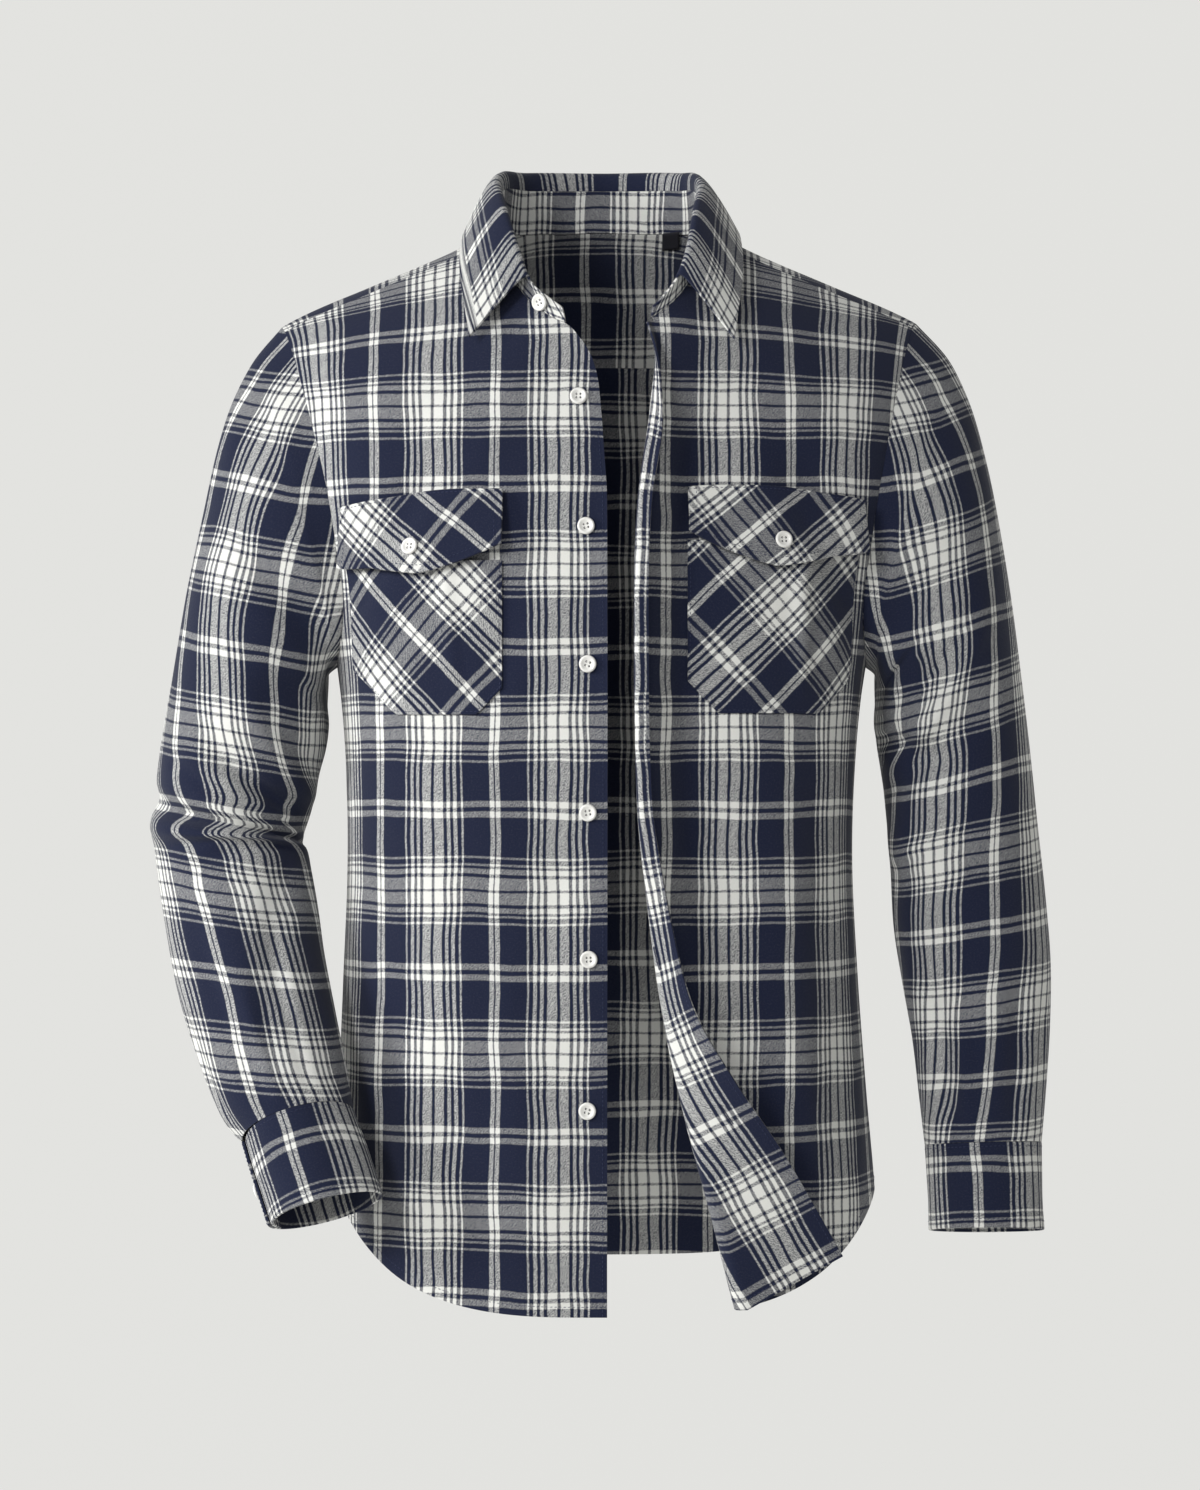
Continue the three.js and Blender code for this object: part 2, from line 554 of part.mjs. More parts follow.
// A front panel's point: across from its front edge (0) to its side (1), rows from the hem up.
function frontPoint(side, edgeX, across, j) {
  if (j <= LOWER_ROWS) {
    const up = j / LOWER_ROWS;
    const edgeZ = lerp(HEM.front, UNDERARM_Z, up);
    const start = angleAt(edgeX(edgeZ), edgeZ);
    const angle = lerp(start, (side * Math.PI) / 2, across);
    return bodyAtZ(angle, lerp(hemZ(angle, 1), UNDERARM_Z, up), 1);
  }
  const share = (j - LOWER_ROWS) / UPPER_ROWS;
  const { inner, outer } = frontEnds(side, edgeX, share);
  const first = frontEnds(side, edgeX, 0);
  const angle = lerp(inner.angle, outer.angle, across);
  const levelAngle = Math.abs(lerp(first.inner.angle, first.outer.angle, across));
  const levelX = halfWidth(UNDERARM_Z, side) * sideways(levelAngle);
  const level = fallAt(ridgeZ(levelX) - UNDERARM_Z) - lerp(first.inner.fall, first.outer.fall, across);
  return body(angle, lerp(inner.fall, outer.fall, across) + level * (1 - share) ** 2);
}

// Right front: the button side, with a straight free edge
const FRONT_ROWS = LOWER_ROWS + UPPER_ROWS;
const buttonEdgeX = (z) => track(BUTTON_EDGE, "z", "x", z);
const rightFront = grid(FRONT_ROWS, FRONT_COLUMNS, (s, t, i, j) => frontPoint(-1, buttonEdgeX, 1 - s, j));

// Left front: the buttonhole side
const foldX = (z) => track(TURN_BACK, "z", "x", z);
const leftFront = grid(FRONT_ROWS, FRONT_COLUMNS, (s, t, i, j) => frontPoint(1, foldX, s, j));

// Its edge rolls forward from the fold line, turns through an angle and lies back over the front.
function turnedBack(j, column) {
  const fold = leftFront[j][0];
  const whole = track(TURN_BACK, "z", "width", fold.z);
  const turn = radians(track(TURN_BACK, "z", "turn", fold.z));
  const radius = Math.min(track(TURN_BACK, "z", "radius", fold.z), (0.6 * whole) / turn);
  const arc = radius * turn;
  const width = column <= ROLL_COLUMNS ? (arc * column) / ROLL_COLUMNS
    : lerp(arc, whole, (column - ROLL_COLUMNS) / (FLAP_COLUMNS - ROLL_COLUMNS));
  const forward = fold.clone().sub(leftFront[j][1]).setZ(0).normalize();
  const out = vector(forward.y, -forward.x, 0);
  if (out.y > 0) out.negate();
  const lean = Math.atan2(foldX(fold.z - 12) - foldX(fold.z + 12), 24);
  const bent = Math.min(width / radius, turn);
  const straight = Math.max(0, width - radius * turn);
  const rise = turn > 1.9 ? Math.sin(2 * lean) : 0;
  const point = fold
    .clone()
    .addScaledVector(forward, radius * Math.sin(bent) + straight * Math.cos(turn) * Math.cos(2 * lean))
    .addScaledVector(out, radius * (1 - Math.cos(bent)) + straight * Math.sin(turn));
  point.z += straight * rise;
  return point;
}
const flap = Array.from({ length: LOWER_ROWS + CORNER_ROW + 1 }, (_, j) =>
  Array.from({ length: FLAP_COLUMNS + 1 }, (_, k) => turnedBack(j, FLAP_COLUMNS - k)),
);
flap.forEach((row, j) => row.splice(-1, 1, leftFront[j][0].clone()));

// Back: from the hem to the yoke's seam
const yokeSeamZ = (share) => lerp(YOKE_BACK_MIDDLE_Z, YOKE_BACK_ARM_Z, Math.abs(2 * share - 1) ** 2);
function yokeArmPart(side) {
  let [low, high] = [0, 1];
  for (let i = 0; i < 30; i += 1) {
    const middle = (low + high) / 2;
    const at = armhole(side, middle, -1);
    if (body(at.angle, at.fall).z > YOKE_BACK_ARM_Z) low = middle;
    else high = middle;
  }
  return low;
}
function backPoint(s, j) {
  const turnShare = 1 - 2 * s;
  if (j <= LOWER_ROWS) {
    const angle = (turnShare * Math.PI) / 2;
    return bodyAtZ(angle, lerp(hemZ(angle, -1), UNDERARM_Z, j / LOWER_ROWS), -1);
  }
  const share = (j - LOWER_ROWS) / BACK_UPPER;
  const ends = [1, -1].map((side) => armhole(side, lerp(1, yokeArmPart(side), share), -1));
  const angle = lerp(ends[0].angle, ends[1].angle, s);
  const endZ = ends.map((end) => body(end.angle, end.fall).z);
  const middleZ = lerp(UNDERARM_Z, yokeSeamZ(0.5), share);
  return bodyAtZ(angle, lerp(middleZ, lerp(endZ[0], endZ[1], s), turnShare ** 2), -1);
}
const BACK_UPPER = 9;
const back = grid(LOWER_ROWS + BACK_UPPER, BACK_COLUMNS, (s, t, i, j) => backPoint(s, j));

// Yoke: from the neckline out to the armholes and the back seam
const YOKE_ARM = 4;
const YOKE_COLUMNS = BACK_COLUMNS + 2 * YOKE_ARM;
function yokeOuter(i) {
  const last = LOWER_ROWS + BACK_UPPER;
  const arm = (side, share) => {
    const [front, behind] = [armholePart(side, YOKE_FRONT, 1), yokeArmPart(side)];
    const along = lerp(-front, behind, share);
    const at = armhole(side, Math.abs(along), along < 0 ? 1 : -1);
    if (share === 0) at.fall = YOKE_FRONT;
    return at;
  };
  if (i <= YOKE_ARM) return arm(-1, i / YOKE_ARM);
  if (i >= YOKE_ARM + BACK_COLUMNS) return arm(1, (YOKE_COLUMNS - i) / YOKE_ARM);
  const point = back[last][BACK_COLUMNS - (i - YOKE_ARM)];
  const angle = angleAt(point.x, point.z);
  return { angle, fall: -fallAt(ridgeZ(point.x) - point.z), point };
}
const yoke = grid(FRONT_COLUMNS, YOKE_COLUMNS, (s, t, i, j) => {
  const turn = lerp(-YOKE_TURN.left, YOKE_TURN.right, s);
  const inner = neckline(turn);
  if (i === 0 || i === YOKE_COLUMNS) inner.fall = YOKE_FRONT;
  const outer = yokeOuter(i);
  if (j === FRONT_COLUMNS && outer.point) return outer.point.clone();
  return body(lerp(inner.angle, outer.angle, t), lerp(inner.fall, outer.fall, t));
});

// Armhole rings, from the underarm up the front, over the shoulder and down the back
function armholeRing(side) {
  const at = (rows, column, from, to) => rows.slice(from, to).map((row) => row.at(column));
  const front = at(side < 0 ? rightFront : leftFront, side < 0 ? 0 : -1, LOWER_ROWS, FRONT_ROWS);
  const seam = yoke[FRONT_COLUMNS];
  const over = side < 0 ? seam.slice(0, YOKE_ARM) : seam.slice(-YOKE_ARM).reverse();
  const behind = at(back, side < 0 ? -1 : 0, LOWER_ROWS + 1, LOWER_ROWS + BACK_UPPER + 1).reverse();
  return [...front, ...over, ...behind];
}

// One ring of a sleeve or cuff table at a place along it (in rows of the table).
function tubeRing(table, place, angles) {
  const rows = table.map((row, number) => ({ ...row, number }));
  const read = (column, at) => track(rows, "number", column, at);
  const ends = (at) => {
    const out = vector(read("outX", at), read("y", at), read("outZ", at));
    const inn = vector(read("inX", at), read("y", at), read("inZ", at));
    return { middle: out.clone().add(inn).multiplyScalar(0.5), across: out.sub(inn).multiplyScalar(0.5) };
  };
  const { middle, across } = ends(place);
  const next = ends(Math.min(rows.length - 1, place + 0.3)).middle;
  const along = next.sub(ends(Math.max(0, place - 0.3)).middle);
  const toFront = along.cross(across).normalize();
  if (toFront.y > 0) toFront.negate();
  return angles.map((angle) => {
    const point = middle.clone().addScaledVector(across, Math.cos(angle));
    return point.addScaledVector(toFront, read("depth", place) * Math.sin(angle));
  });
}

// Sleeve: rings that leave the armhole and settle into the table's sections, then soft creases
function sleeveGrid(side, table, creases) {
  const body = armholeRing(side);
  const ring = body.map((p, k) => {
    const near = Math.min(k, body.length - k);
    return near < 4 ? p.clone().add(vector(side * (0.9 - 0.2 * near), 0, 0.2)) : p;
  });
  const angles = ring.map((_, k) => Math.PI - (2 * Math.PI * k) / ring.length);
  const first = tubeRing(table, 0, angles);
  const last = table.length - 1;
  const rows = Array.from({ length: SLEEVE_ROWS + 1 }, (_, j) => {
    const share = j / SLEEVE_ROWS;
    const away = 1 - smooth(share, 0, 0.34);
    const tube = tubeRing(table, share * last, angles);
    return tube.map((p, k) => p.addScaledVector(ring[k].clone().sub(first[k]), away));
  });
  const total = (row) => row.reduce((sum, p) => sum.add(p), vector(0, 0, 0));
  const middles = rows.map((row) => total(row).divideScalar(row.length));
  const shaped = rows.map((row, j) =>
    row.map((p, k) => {
      const share = j / SLEEVE_ROWS;
      const turn = THREE.MathUtils.radToDeg(angles[k]);
      const keep = smooth(share, 0.02, 0.12) * (1 - smooth(share, 0.93, 1));
      let height = 0;
      for (const c of creases) {
        const [u, v] = [(c.a2 - c.a1) * 0.95, (c.s2 - c.s1) * 620];
        const wrapped = ((turn - (c.a1 + c.a2) / 2 + 540) % 360) - 180 + (c.a2 - c.a1) / 2;
        const [du, dv] = [wrapped * 0.95, (share - c.s1) * 620];
        const along = (du * u + dv * v) / (u * u + v * v);
        const off = Math.hypot(du - along * u, dv - along * v);
        const fade = smooth(along, -0.3, 0.3) * (1 - smooth(along, 0.7, 1.3));
        height += c.depth * fade * Math.exp(-((off / c.width) ** 2));
      }
      return p.clone().addScaledVector(p.clone().sub(middles[j]).normalize(), height * keep);
    }),
  );
  return side < 0 ? shaped : mirrored(shaped);
}
const sleeves = {
  left: sleeveGrid(-1, LEFT_SLEEVE, LEFT_CREASES),
  right: sleeveGrid(1, RIGHT_SLEEVE, RIGHT_CREASES),
};

// Cuff: starts at its lapped edge and goes once round behind, to tuck under that edge. Its top is the
// sleeve's last ring.
function cuffGrid(side, table, edge) {
  const end = side < 0 ? sleeves.left.at(-1) : [...sleeves.right.at(-1)].reverse();
  const sides = end.length;
  const angles = end.map((_, k) => Math.PI - (2 * Math.PI * k) / sides);
  const top = tubeRing(table, 0, angles);
  return Array.from({ length: CUFF_ROWS + 1 }, (_, j) => {
    const share = j / CUFF_ROWS;
    const ring = tubeRing(table, share * (table.length - 1), angles).map((p, k) =>
      p.addScaledVector(end[k].clone().sub(top[k]), 1 - share),
    );
    const columns = Array.from({ length: sides + CUFF_LAP + 1 }, (_, k) => {
      const point = ring[(k + edge) % sides].clone();
      const opposite = ring[(k + edge + Math.floor(sides / 2)) % sides];
      const tuck = CUFF_TUCK * smooth(k, sides - 4, sides - 0.5);
      return point.addScaledVector(opposite.clone().sub(point).normalize(), tuck);
    });
    return side < 0 ? columns : columns.reverse();
  });
}
const CUFF_ROWS = 4;
const CUFF_LAP = 2; // columns by which the under layer passes the edge
const CUFF_TUCK = 3.6; // depth of the under layer at the edge
const cuffs = { left: cuffGrid(-1, LEFT_CUFF, 11), right: cuffGrid(1, RIGHT_CUFF, 16) };

// Collar stand on the neckline: bottom edge from the panels, top edge from the table
const necklinePoints = [
  ...rightFront.slice(LOWER_ROWS + CORNER_ROW, -1).map((row) => row.at(-1)),
  ...yoke[0],
  ...leftFront.slice(LOWER_ROWS + CORNER_ROW, -1).map((row) => row[0]).reverse(),
];
const neckTurns = necklinePoints.map((_, k) => {
  const corner = UPPER_ROWS - CORNER_ROW;
  const total = necklinePoints.length - 1;
  if (k < corner) return -lerp(NECK_END.left, YOKE_TURN.left, k / corner);
  if (k > total - corner) return lerp(NECK_END.right, YOKE_TURN.right, (total - k) / corner);
  return lerp(-YOKE_TURN.left, YOKE_TURN.right, (k - corner) / YOKE_COLUMNS);
});
const standTops = neckTurns.map((turn) => {
  const table = STAND_TOP[turn < 0 ? "left" : "right"];
  return vector(...["x", "y", "z"].map((column) => track(table, "turn", column, Math.abs(turn))));
});
const standPoint = (s, t, i) => necklinePoints[i].clone().lerp(standTops[i], t);
const stand = mirrored(grid(3, necklinePoints.length - 1, standPoint));

// Collar leaf: rises from the stand's top, rolls over and falls to its edge on the shoulders
const leafValue = (turn, column) => track(LEAF[sideName(turn)], "turn", column, Math.abs(turn));
const leafEdges = neckTurns.map((turn) => {
  const x = leafValue(turn, "x");
  const fall = leafValue(turn, "fall");
  let z = ridgeZ(x);
  for (let i = 0; i < 4; i += 1) z = ridgeZ(x) - dropAt(Math.abs(fall));
  const angle = angleAt(x, z);
  return body(angle, fall).addScaledVector(bodyNormal(angle, fall), leafValue(turn, "lift"));
});
const leafPoint = (t, i) => {
  const start = standTops[i];
  const up = start.clone().sub(necklinePoints[i]).normalize();
  const away = leafEdges[i].clone().sub(start).setZ(0).normalize();
  const value = (column) => leafValue(neckTurns[i], column);
  const a = start.clone().addScaledVector(up, value("up"));
  const b = start.clone().addScaledVector(up, value("over")).addScaledVector(away, value("out"));
  const [p, q, r, s] = [(1 - t) ** 3, 3 * t * (1 - t) ** 2, 3 * t * t * (1 - t), t ** 3];
  const begun = start.clone().multiplyScalar(p).addScaledVector(a, q);
  return begun.addScaledVector(b, r).addScaledVector(leafEdges[i], s);
};
const leafRange = neckTurns.map((_, k) => k).slice(1, -1);
const leaf = mirrored(grid(9, leafRange.length - 1, (s, t, i) => leafPoint(t, leafRange[i])));

// The bent right sleeve is two solids that meet at the elbow, so that both stay simple tubes
const ELBOW_ROW = Math.round(0.58 * SLEEVE_ROWS);

// Build the sewn shell with shared normals, so that walls meet in mitres
const sewn = [
  { name: "right_front", grids: [rightFront], wall: CLOTH },
  { name: "left_front", grids: [leftFront, flap], wall: CLOTH },
  { name: "back", grids: [back], wall: CLOTH },
  { name: "yoke", grids: [yoke], wall: CLOTH },
  { name: "sleeve_right", grids: [sleeves.left.slice(0, ELBOW_ROW + 1)], wall: CLOTH, wrap: true, cut: 0.6 },
  { name: "sleeve_right_forearm", grids: [sleeves.left.slice(ELBOW_ROW)], wall: CLOTH, wrap: true, cut: 0.3 },
  { name: "sleeve_left", grids: [sleeves.right], wall: CLOTH, wrap: true, cut: 0.6 },
  { name: "cuff_right", grids: [cuffs.left], wall: DOUBLE },
  { name: "cuff_left", grids: [cuffs.right], wall: DOUBLE },
  { name: "collar_stand", grids: [stand], wall: DOUBLE },
  { name: "collar_leaf", grids: [leaf], wall: DOUBLE, cut: 0.45 },
];
const normals = sharedNormals(sewn);
for (const { name, grids, wall, wrap, cut } of sewn) piece(name, thicken(grids, wall, normals, wrap, cut));

// A patch that lies on rows and columns of a sheet, moved out (or in) by a distance.
function lyingOn(rows, distance, thickness, cut) {
  const patch = rows.map((row) => row.map((p) => p.clone().addScaledVector(normals.get(key(p)), distance)));
  return thicken([patch], thickness, sharedNormals([{ grids: [patch] }]), false, cut);
}

// Facing on the hidden side of the turned-back edge, the side seen from the front
const faced = mirrored(flap.map((row) => row.slice(0, -1)));
piece("left_front_facing", lyingOn(faced, -CLOTH - LIE - PATCH, PATCH, 0.4));

// Sleeve plackets, on the hidden back of each sleeve above the cuff
const placketRows = (rows, column) => rows.slice(-7, -1).map((row) => row.slice(column, column + 3));
piece("placket_right", lyingOn(placketRows(sleeves.left, 15), LIE + PATCH, PATCH, 0.2));
piece("placket_left", lyingOn(placketRows(sleeves.right, 6), LIE + PATCH, PATCH, 0.2));

// Where a line from the front, at x and z, meets a panel
const caster = new THREE.Raycaster();
function onPanel(name, x, z, distance) {
  const panel = shirt.getObjectByName(name);
  panel.material.side = THREE.DoubleSide;
  caster.set(vector(x, -400, z), vector(0, 1, 0));
  const [hit] = caster.intersectObject(panel);
  const angle = angleAt(x, z);
  const normal = bodyNormal(angle, fallAt(ridgeZ(x) - z));
  return { point: (hit ? hit.point : bodyAtXZ(x, z, 1)).addScaledVector(normal, distance), normal };
}

// Pocket: straight sides, cut lower corners, closed under its flap
function pocketPatch(panel, size, distance) {
  return grid(8, 9, (s, t) => {
    const sign = Math.sign(size.lean);
    const x = lerp(size.x1, size.x2, s) + (sign > 0 ? 1 - s : s) * size.lean * (1 - 2 * t);
    const width = size.x2 - size.x1;
    const corner = Math.max(0, size.cut1 - s * width, size.cut2 - (1 - s) * width);
    const z = lerp(size.bottom + corner, size.top, t);
    return onPanel(panel, x, z, distance).point;
  });
}
// Pocket flap: a curved top edge, short straight ends and a shallow point below
function flapPatch(panel, size, distance) {
  return grid(5, 10, (s, t) => {
    const x = lerp(size.x1, size.x2, s);
    const top = lerp(size.top1, size.top2, s) + FLAP_CURVE * 4 * s * (1 - s) * 0.5;
    const rise = Math.abs(2 * s - 1) ** 1.3;
    const bottom = lerp(size.tip, s < 0.5 ? size.end1 : size.end2, rise);
    return onPanel(panel, x, lerp(bottom, top, t), distance).point;
  });
}

// Pushes a patch forward wherever a straight run between its points would cut into the panel's facets.
function settled(rows, panel, distance) {
  for (let pass = 0; pass < 3; pass += 1) {
    for (let j = 0; j < rows.length - 1; j += 1) {
      for (let i = 0; i < rows[0].length - 1; i += 1) {
        const [a, b, c, d] = [rows[j][i], rows[j][i + 1], rows[j + 1][i + 1], rows[j + 1][i]];
        for (const pair of [[a, c], [a, b], [a, d], [b, c], [d, c]]) {
          for (const share of [0.3, 0.7]) {
            const at = pair[0].clone().lerp(pair[1], share);
            const { point, normal } = onPanel(panel, at.x, at.z, 0);
            const short = at.y - (point.y + distance / Math.min(-0.4, normal.y));
            if (short > 0) for (const p of pair) p.y -= short * 0.8;
          }
        }
      }
    }
  }
  return rows;
}
function patchPiece(name, panel, rows, distance) {
  const flat = settled(rows, panel, distance);
  piece(name, thicken([flat], PATCH, sharedNormals([{ grids: [flat] }]), false, 0));
}
const ON = LIE + PATCH;
patchPiece("pocket_right", "right_front", pocketPatch("right_front", LEFT_POCKET, ON), ON);
patchPiece("pocket_left", "left_front", pocketPatch("left_front", RIGHT_POCKET, ON), ON);
const OVER = 2 * ON + 0.3; // a flap lies on its pocket
patchPiece("pocket_flap_right", "right_front", flapPatch("right_front", LEFT_FLAP, OVER), OVER);
patchPiece("pocket_flap_left", "left_front", flapPatch("left_front", RIGHT_FLAP, OVER), OVER);

// Button: a thin disc with four holes
function buttonShape() {
  const outline = new THREE.Shape(
    Array.from({ length: BUTTON.sides }, (_, k) => {
      const turn = (2 * Math.PI * k) / BUTTON.sides;
      return new THREE.Vector2(BUTTON.radius * Math.cos(turn), BUTTON.radius * Math.sin(turn));
    }),
  );
  for (const [x, y] of [[1, 1], [-1, 1], [-1, -1], [1, -1]]) {
    const [cx, cy] = [x * BUTTON.holes, y * BUTTON.holes];
    const r = BUTTON.hole;
    const corners = [[r, 0], [0, r], [-r, 0], [0, -r]];
    outline.holes.push(new THREE.Path(corners.map(([a, b]) => new THREE.Vector2(cx + a, cy + b))));
  }
  return outline;
}
function button(name, point, normal) {
  const geometry = new THREE.ExtrudeGeometry(buttonShape(), { depth: BUTTON.thickness, bevelEnabled: false });
  const turn = new THREE.Quaternion().setFromUnitVectors(vector(0, 0, 1), normal);
  geometry.applyQuaternion(turn);
  geometry.translate(point.x, point.y, point.z);
  piece(name, geometry, SHELL_WHITE);
}
const SEATED = 0.5; // gap under a button on a curved panel
FRONT_BUTTONS.forEach(({ x, z }, k) => {
  const { point, normal } = onPanel("right_front", x, z, SEATED);
  button(`button_front_${k + 1}`, point, normal);
});
for (const [name, panel, at] of [
  ["right", "pocket_flap_right", FLAP_BUTTONS.left],
  ["left", "pocket_flap_left", FLAP_BUTTONS.right],
]) {
  const { point, normal } = onPanel(panel, at.x, at.z, SEATED);
  button(`button_flap_${name}`, point, normal);
}

// A point on a sheet's face, between its rows and columns, and its normal.
function onSheet(rows, row, column, distance) {
  const [j, i] = [Math.floor(row), Math.floor(column)];
  const [a, b, c] = [rows[j][i], rows[j][i + 1], rows[j + 1][i]];
  const normal = b.clone().sub(a).cross(c.clone().sub(a)).normalize();
  const point = a.clone().lerp(b, column - i).lerp(c.clone().lerp(rows[j + 1][i + 1], column - i), row - j);
  return { point: point.addScaledVector(normal, distance), normal };
}
{
  const { point, normal } = onSheet(stand, 1.6, stand[0].length - 1.65, 0.6);
  button("button_stand", point, normal);
  const right = onSheet(cuffs.left, 2, 1.5, 0.9);
  button("button_cuff_right", right.point, right.normal);
  const left = onSheet(cuffs.right, 2, cuffs.right[0].length - 2.5, 0.9);
  button("button_cuff_left", left.point, left.normal);
}

// Neck label on the inner side of the yoke, just under the stand
const label = grid(2, 2, (s, t) => {
  const x = LABEL.x + (s - 0.5) * LABEL.width;
  const turn = THREE.MathUtils.radToDeg(Math.asin(x / NECK_HALF));
  const start = neckline(turn);
  const at = body(start.angle, start.fall - 0.03 - 0.1 * t);
  return at.addScaledVector(bodyNormal(start.angle, start.fall - 0.08), -CLOTH - 0.7);
});
piece("neck_label", thicken([label], LABEL.wall, sharedNormals([{ grids: [label] }]), false, 0), LABEL_CLOTH);

export default shirt;
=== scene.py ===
"""A long-sleeved flannel shirt in a navy and white check, worn open and filled out with no wearer.

Lengths are metres unless a name ends in _mm. The front faces -Y, +X is the wearer's left and +Z is up.
Every cloth piece is a grid of points from a formula, thickened by a modifier, with cloth millimetres
in its UV map so that the check follows the cloth. Left and right are the wearer's, but in the torso's
tables and in local names they are the front view's sides.
"""

import bpy
import numpy as np
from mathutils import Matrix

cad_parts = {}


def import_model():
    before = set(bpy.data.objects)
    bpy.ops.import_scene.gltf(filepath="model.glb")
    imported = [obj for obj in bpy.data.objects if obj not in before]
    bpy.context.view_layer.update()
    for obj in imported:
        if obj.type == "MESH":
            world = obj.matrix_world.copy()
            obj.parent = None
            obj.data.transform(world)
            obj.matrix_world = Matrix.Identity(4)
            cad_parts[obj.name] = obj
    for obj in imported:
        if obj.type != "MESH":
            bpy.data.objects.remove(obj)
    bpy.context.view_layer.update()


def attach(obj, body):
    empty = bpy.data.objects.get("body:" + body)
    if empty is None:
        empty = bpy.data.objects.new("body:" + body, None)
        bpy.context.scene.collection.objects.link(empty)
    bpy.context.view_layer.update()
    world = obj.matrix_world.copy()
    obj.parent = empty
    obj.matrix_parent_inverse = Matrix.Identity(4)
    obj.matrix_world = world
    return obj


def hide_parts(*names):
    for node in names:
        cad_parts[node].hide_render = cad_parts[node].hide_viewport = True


bl_info = {
    "name": "Flannel shirt",
    "version": (1, 0, 0),
    "blender": (4, 5, 0),
    "location": "View3D > Sidebar > Shirt",
    "description": "Builds a checked flannel shirt round its CAD frame",
    "category": "Add Mesh",
}

MM = 0.001

# The worn body: half widths and depths from the side seams, in mm, at heights below the neck
TORSO_Z = [-750, -660, -590, -510, -430, -360, -300, -260, -210, -160, -110, -55, 0, 60]
TORSO_LEFT = [185, 185, 184, 181, 178, 179, 184, 191, 202, 213, 225, 236, 243, 246]
TORSO_RIGHT = [195, 191, 185, 179, 175, 177, 183, 192, 204, 214, 223, 231, 238, 242]
TORSO_FRONT = [117, 117, 116, 115, 116, 120, 122, 121, 116, 107, 94, 79, 62, 52]
TORSO_BACK = [109, 107, 103, 98, 95, 98, 104, 108, 111, 112, 111, 107, 103, 98]
RIDGE_X = [-40, 0, 40, 72, 100, 160, 205, 228, 250]
RIDGE_Z = [42, 53, 42, 18, 1, -25, -44, -57, -78]
ROUND_DROP = 130.0
ROUND_POWER = 1.54
LOWER_DROP = 200.0
SQUARENESS = 0.035

ARMHOLE_PART = [0, 0.2, 0.4, 0.6, 0.8, 1]
ARMHOLE_ANGLE = [69, 64, 60.5, 61, 69, 90]
UNDERARM_Z = -292.0
NECK_HALF, NECK_BACK, NECK_FRONT = 72.0, 62.0, 80.0
NECK_SQUARE = 1.4
NECK_END = {-1: 160.0, 1: 152.0}
YOKE_FRONT = 0.13
YOKE_BACK_Z = (-73.0, -86.0)
HEM_FRONT, HEM_BACK, HEM_SIDE, HEM_POWER = -732.0, -716.0, -655.0, 1.6

BUTTON_EDGE_Z = [-750, -182, -148, -114, -94, -77, -57]
BUTTON_EDGE_X = [3.4, 3.4, 1.5, -1, -3.5, -9.5, -24.5]

# The turned-back edge: height, fold line, width turned back, degrees it turns through, radius
TURN_Z = [-765, -735, -655, -590, -520, -450, -385, -250, -180, -112, -76, -50]
TURN_X = [104, 96, 76, 59, 44, 33, 26, 24, 27, 37, 41, 33]
TURN_WIDTH = [103, 95, 72, 51, 33, 20, 14, 13, 14, 16, 13, 4]
TURN_ANGLE = [177, 176, 170, 152, 124, 118, 140, 145, 135, 115, 95, 60]
TURN_RADIUS = [6, 6, 5.5, 5, 4.5, 4, 3.5, 3.5, 3.5, 3.5, 3.5, 3]

# The front beside that edge, in mm from the fold line: how far the edge stands up, and the trough
EDGE_RISE, EDGE_REACH = 12, 15
TROUGH_DEPTH, TROUGH_AWAY, TROUGH_NEAR, TROUGH_FAR = 11, 32, 14, 34

# Body folds: x and z of both ends, width and height (minus for a trough), in mm
FRONT_FOLDS = [
    (-178, -250, -110, -150, 16, -4),
    (-172, -330, -60, -420, 24, 3),
    (-176, -420, -120, -560, 20, -4),
    (-60, -520, -52, -720, 22, 3.5),
    (-120, -540, -128, -700, 20, 3.5),
    (178, -250, 120, -140, 16, -4),
    (120, -360, 132, -640, 22, 4),
    (158, -400, 166, -620, 16, -4),
    (90, -420, 100, -560, 18, -3),
]
BACK_FOLDS = [
    (-170, -260, -90, -170, 20, -4),
    (170, -260, 90, -170, 20, -4),
    (-110, -330, -125, -690, 24, 5),
    (-40, -380, -48, -710, 22, -4),
    (42, -350, 50, -710, 22, 4),
    (118, -340, 132, -690, 24, -5),
]

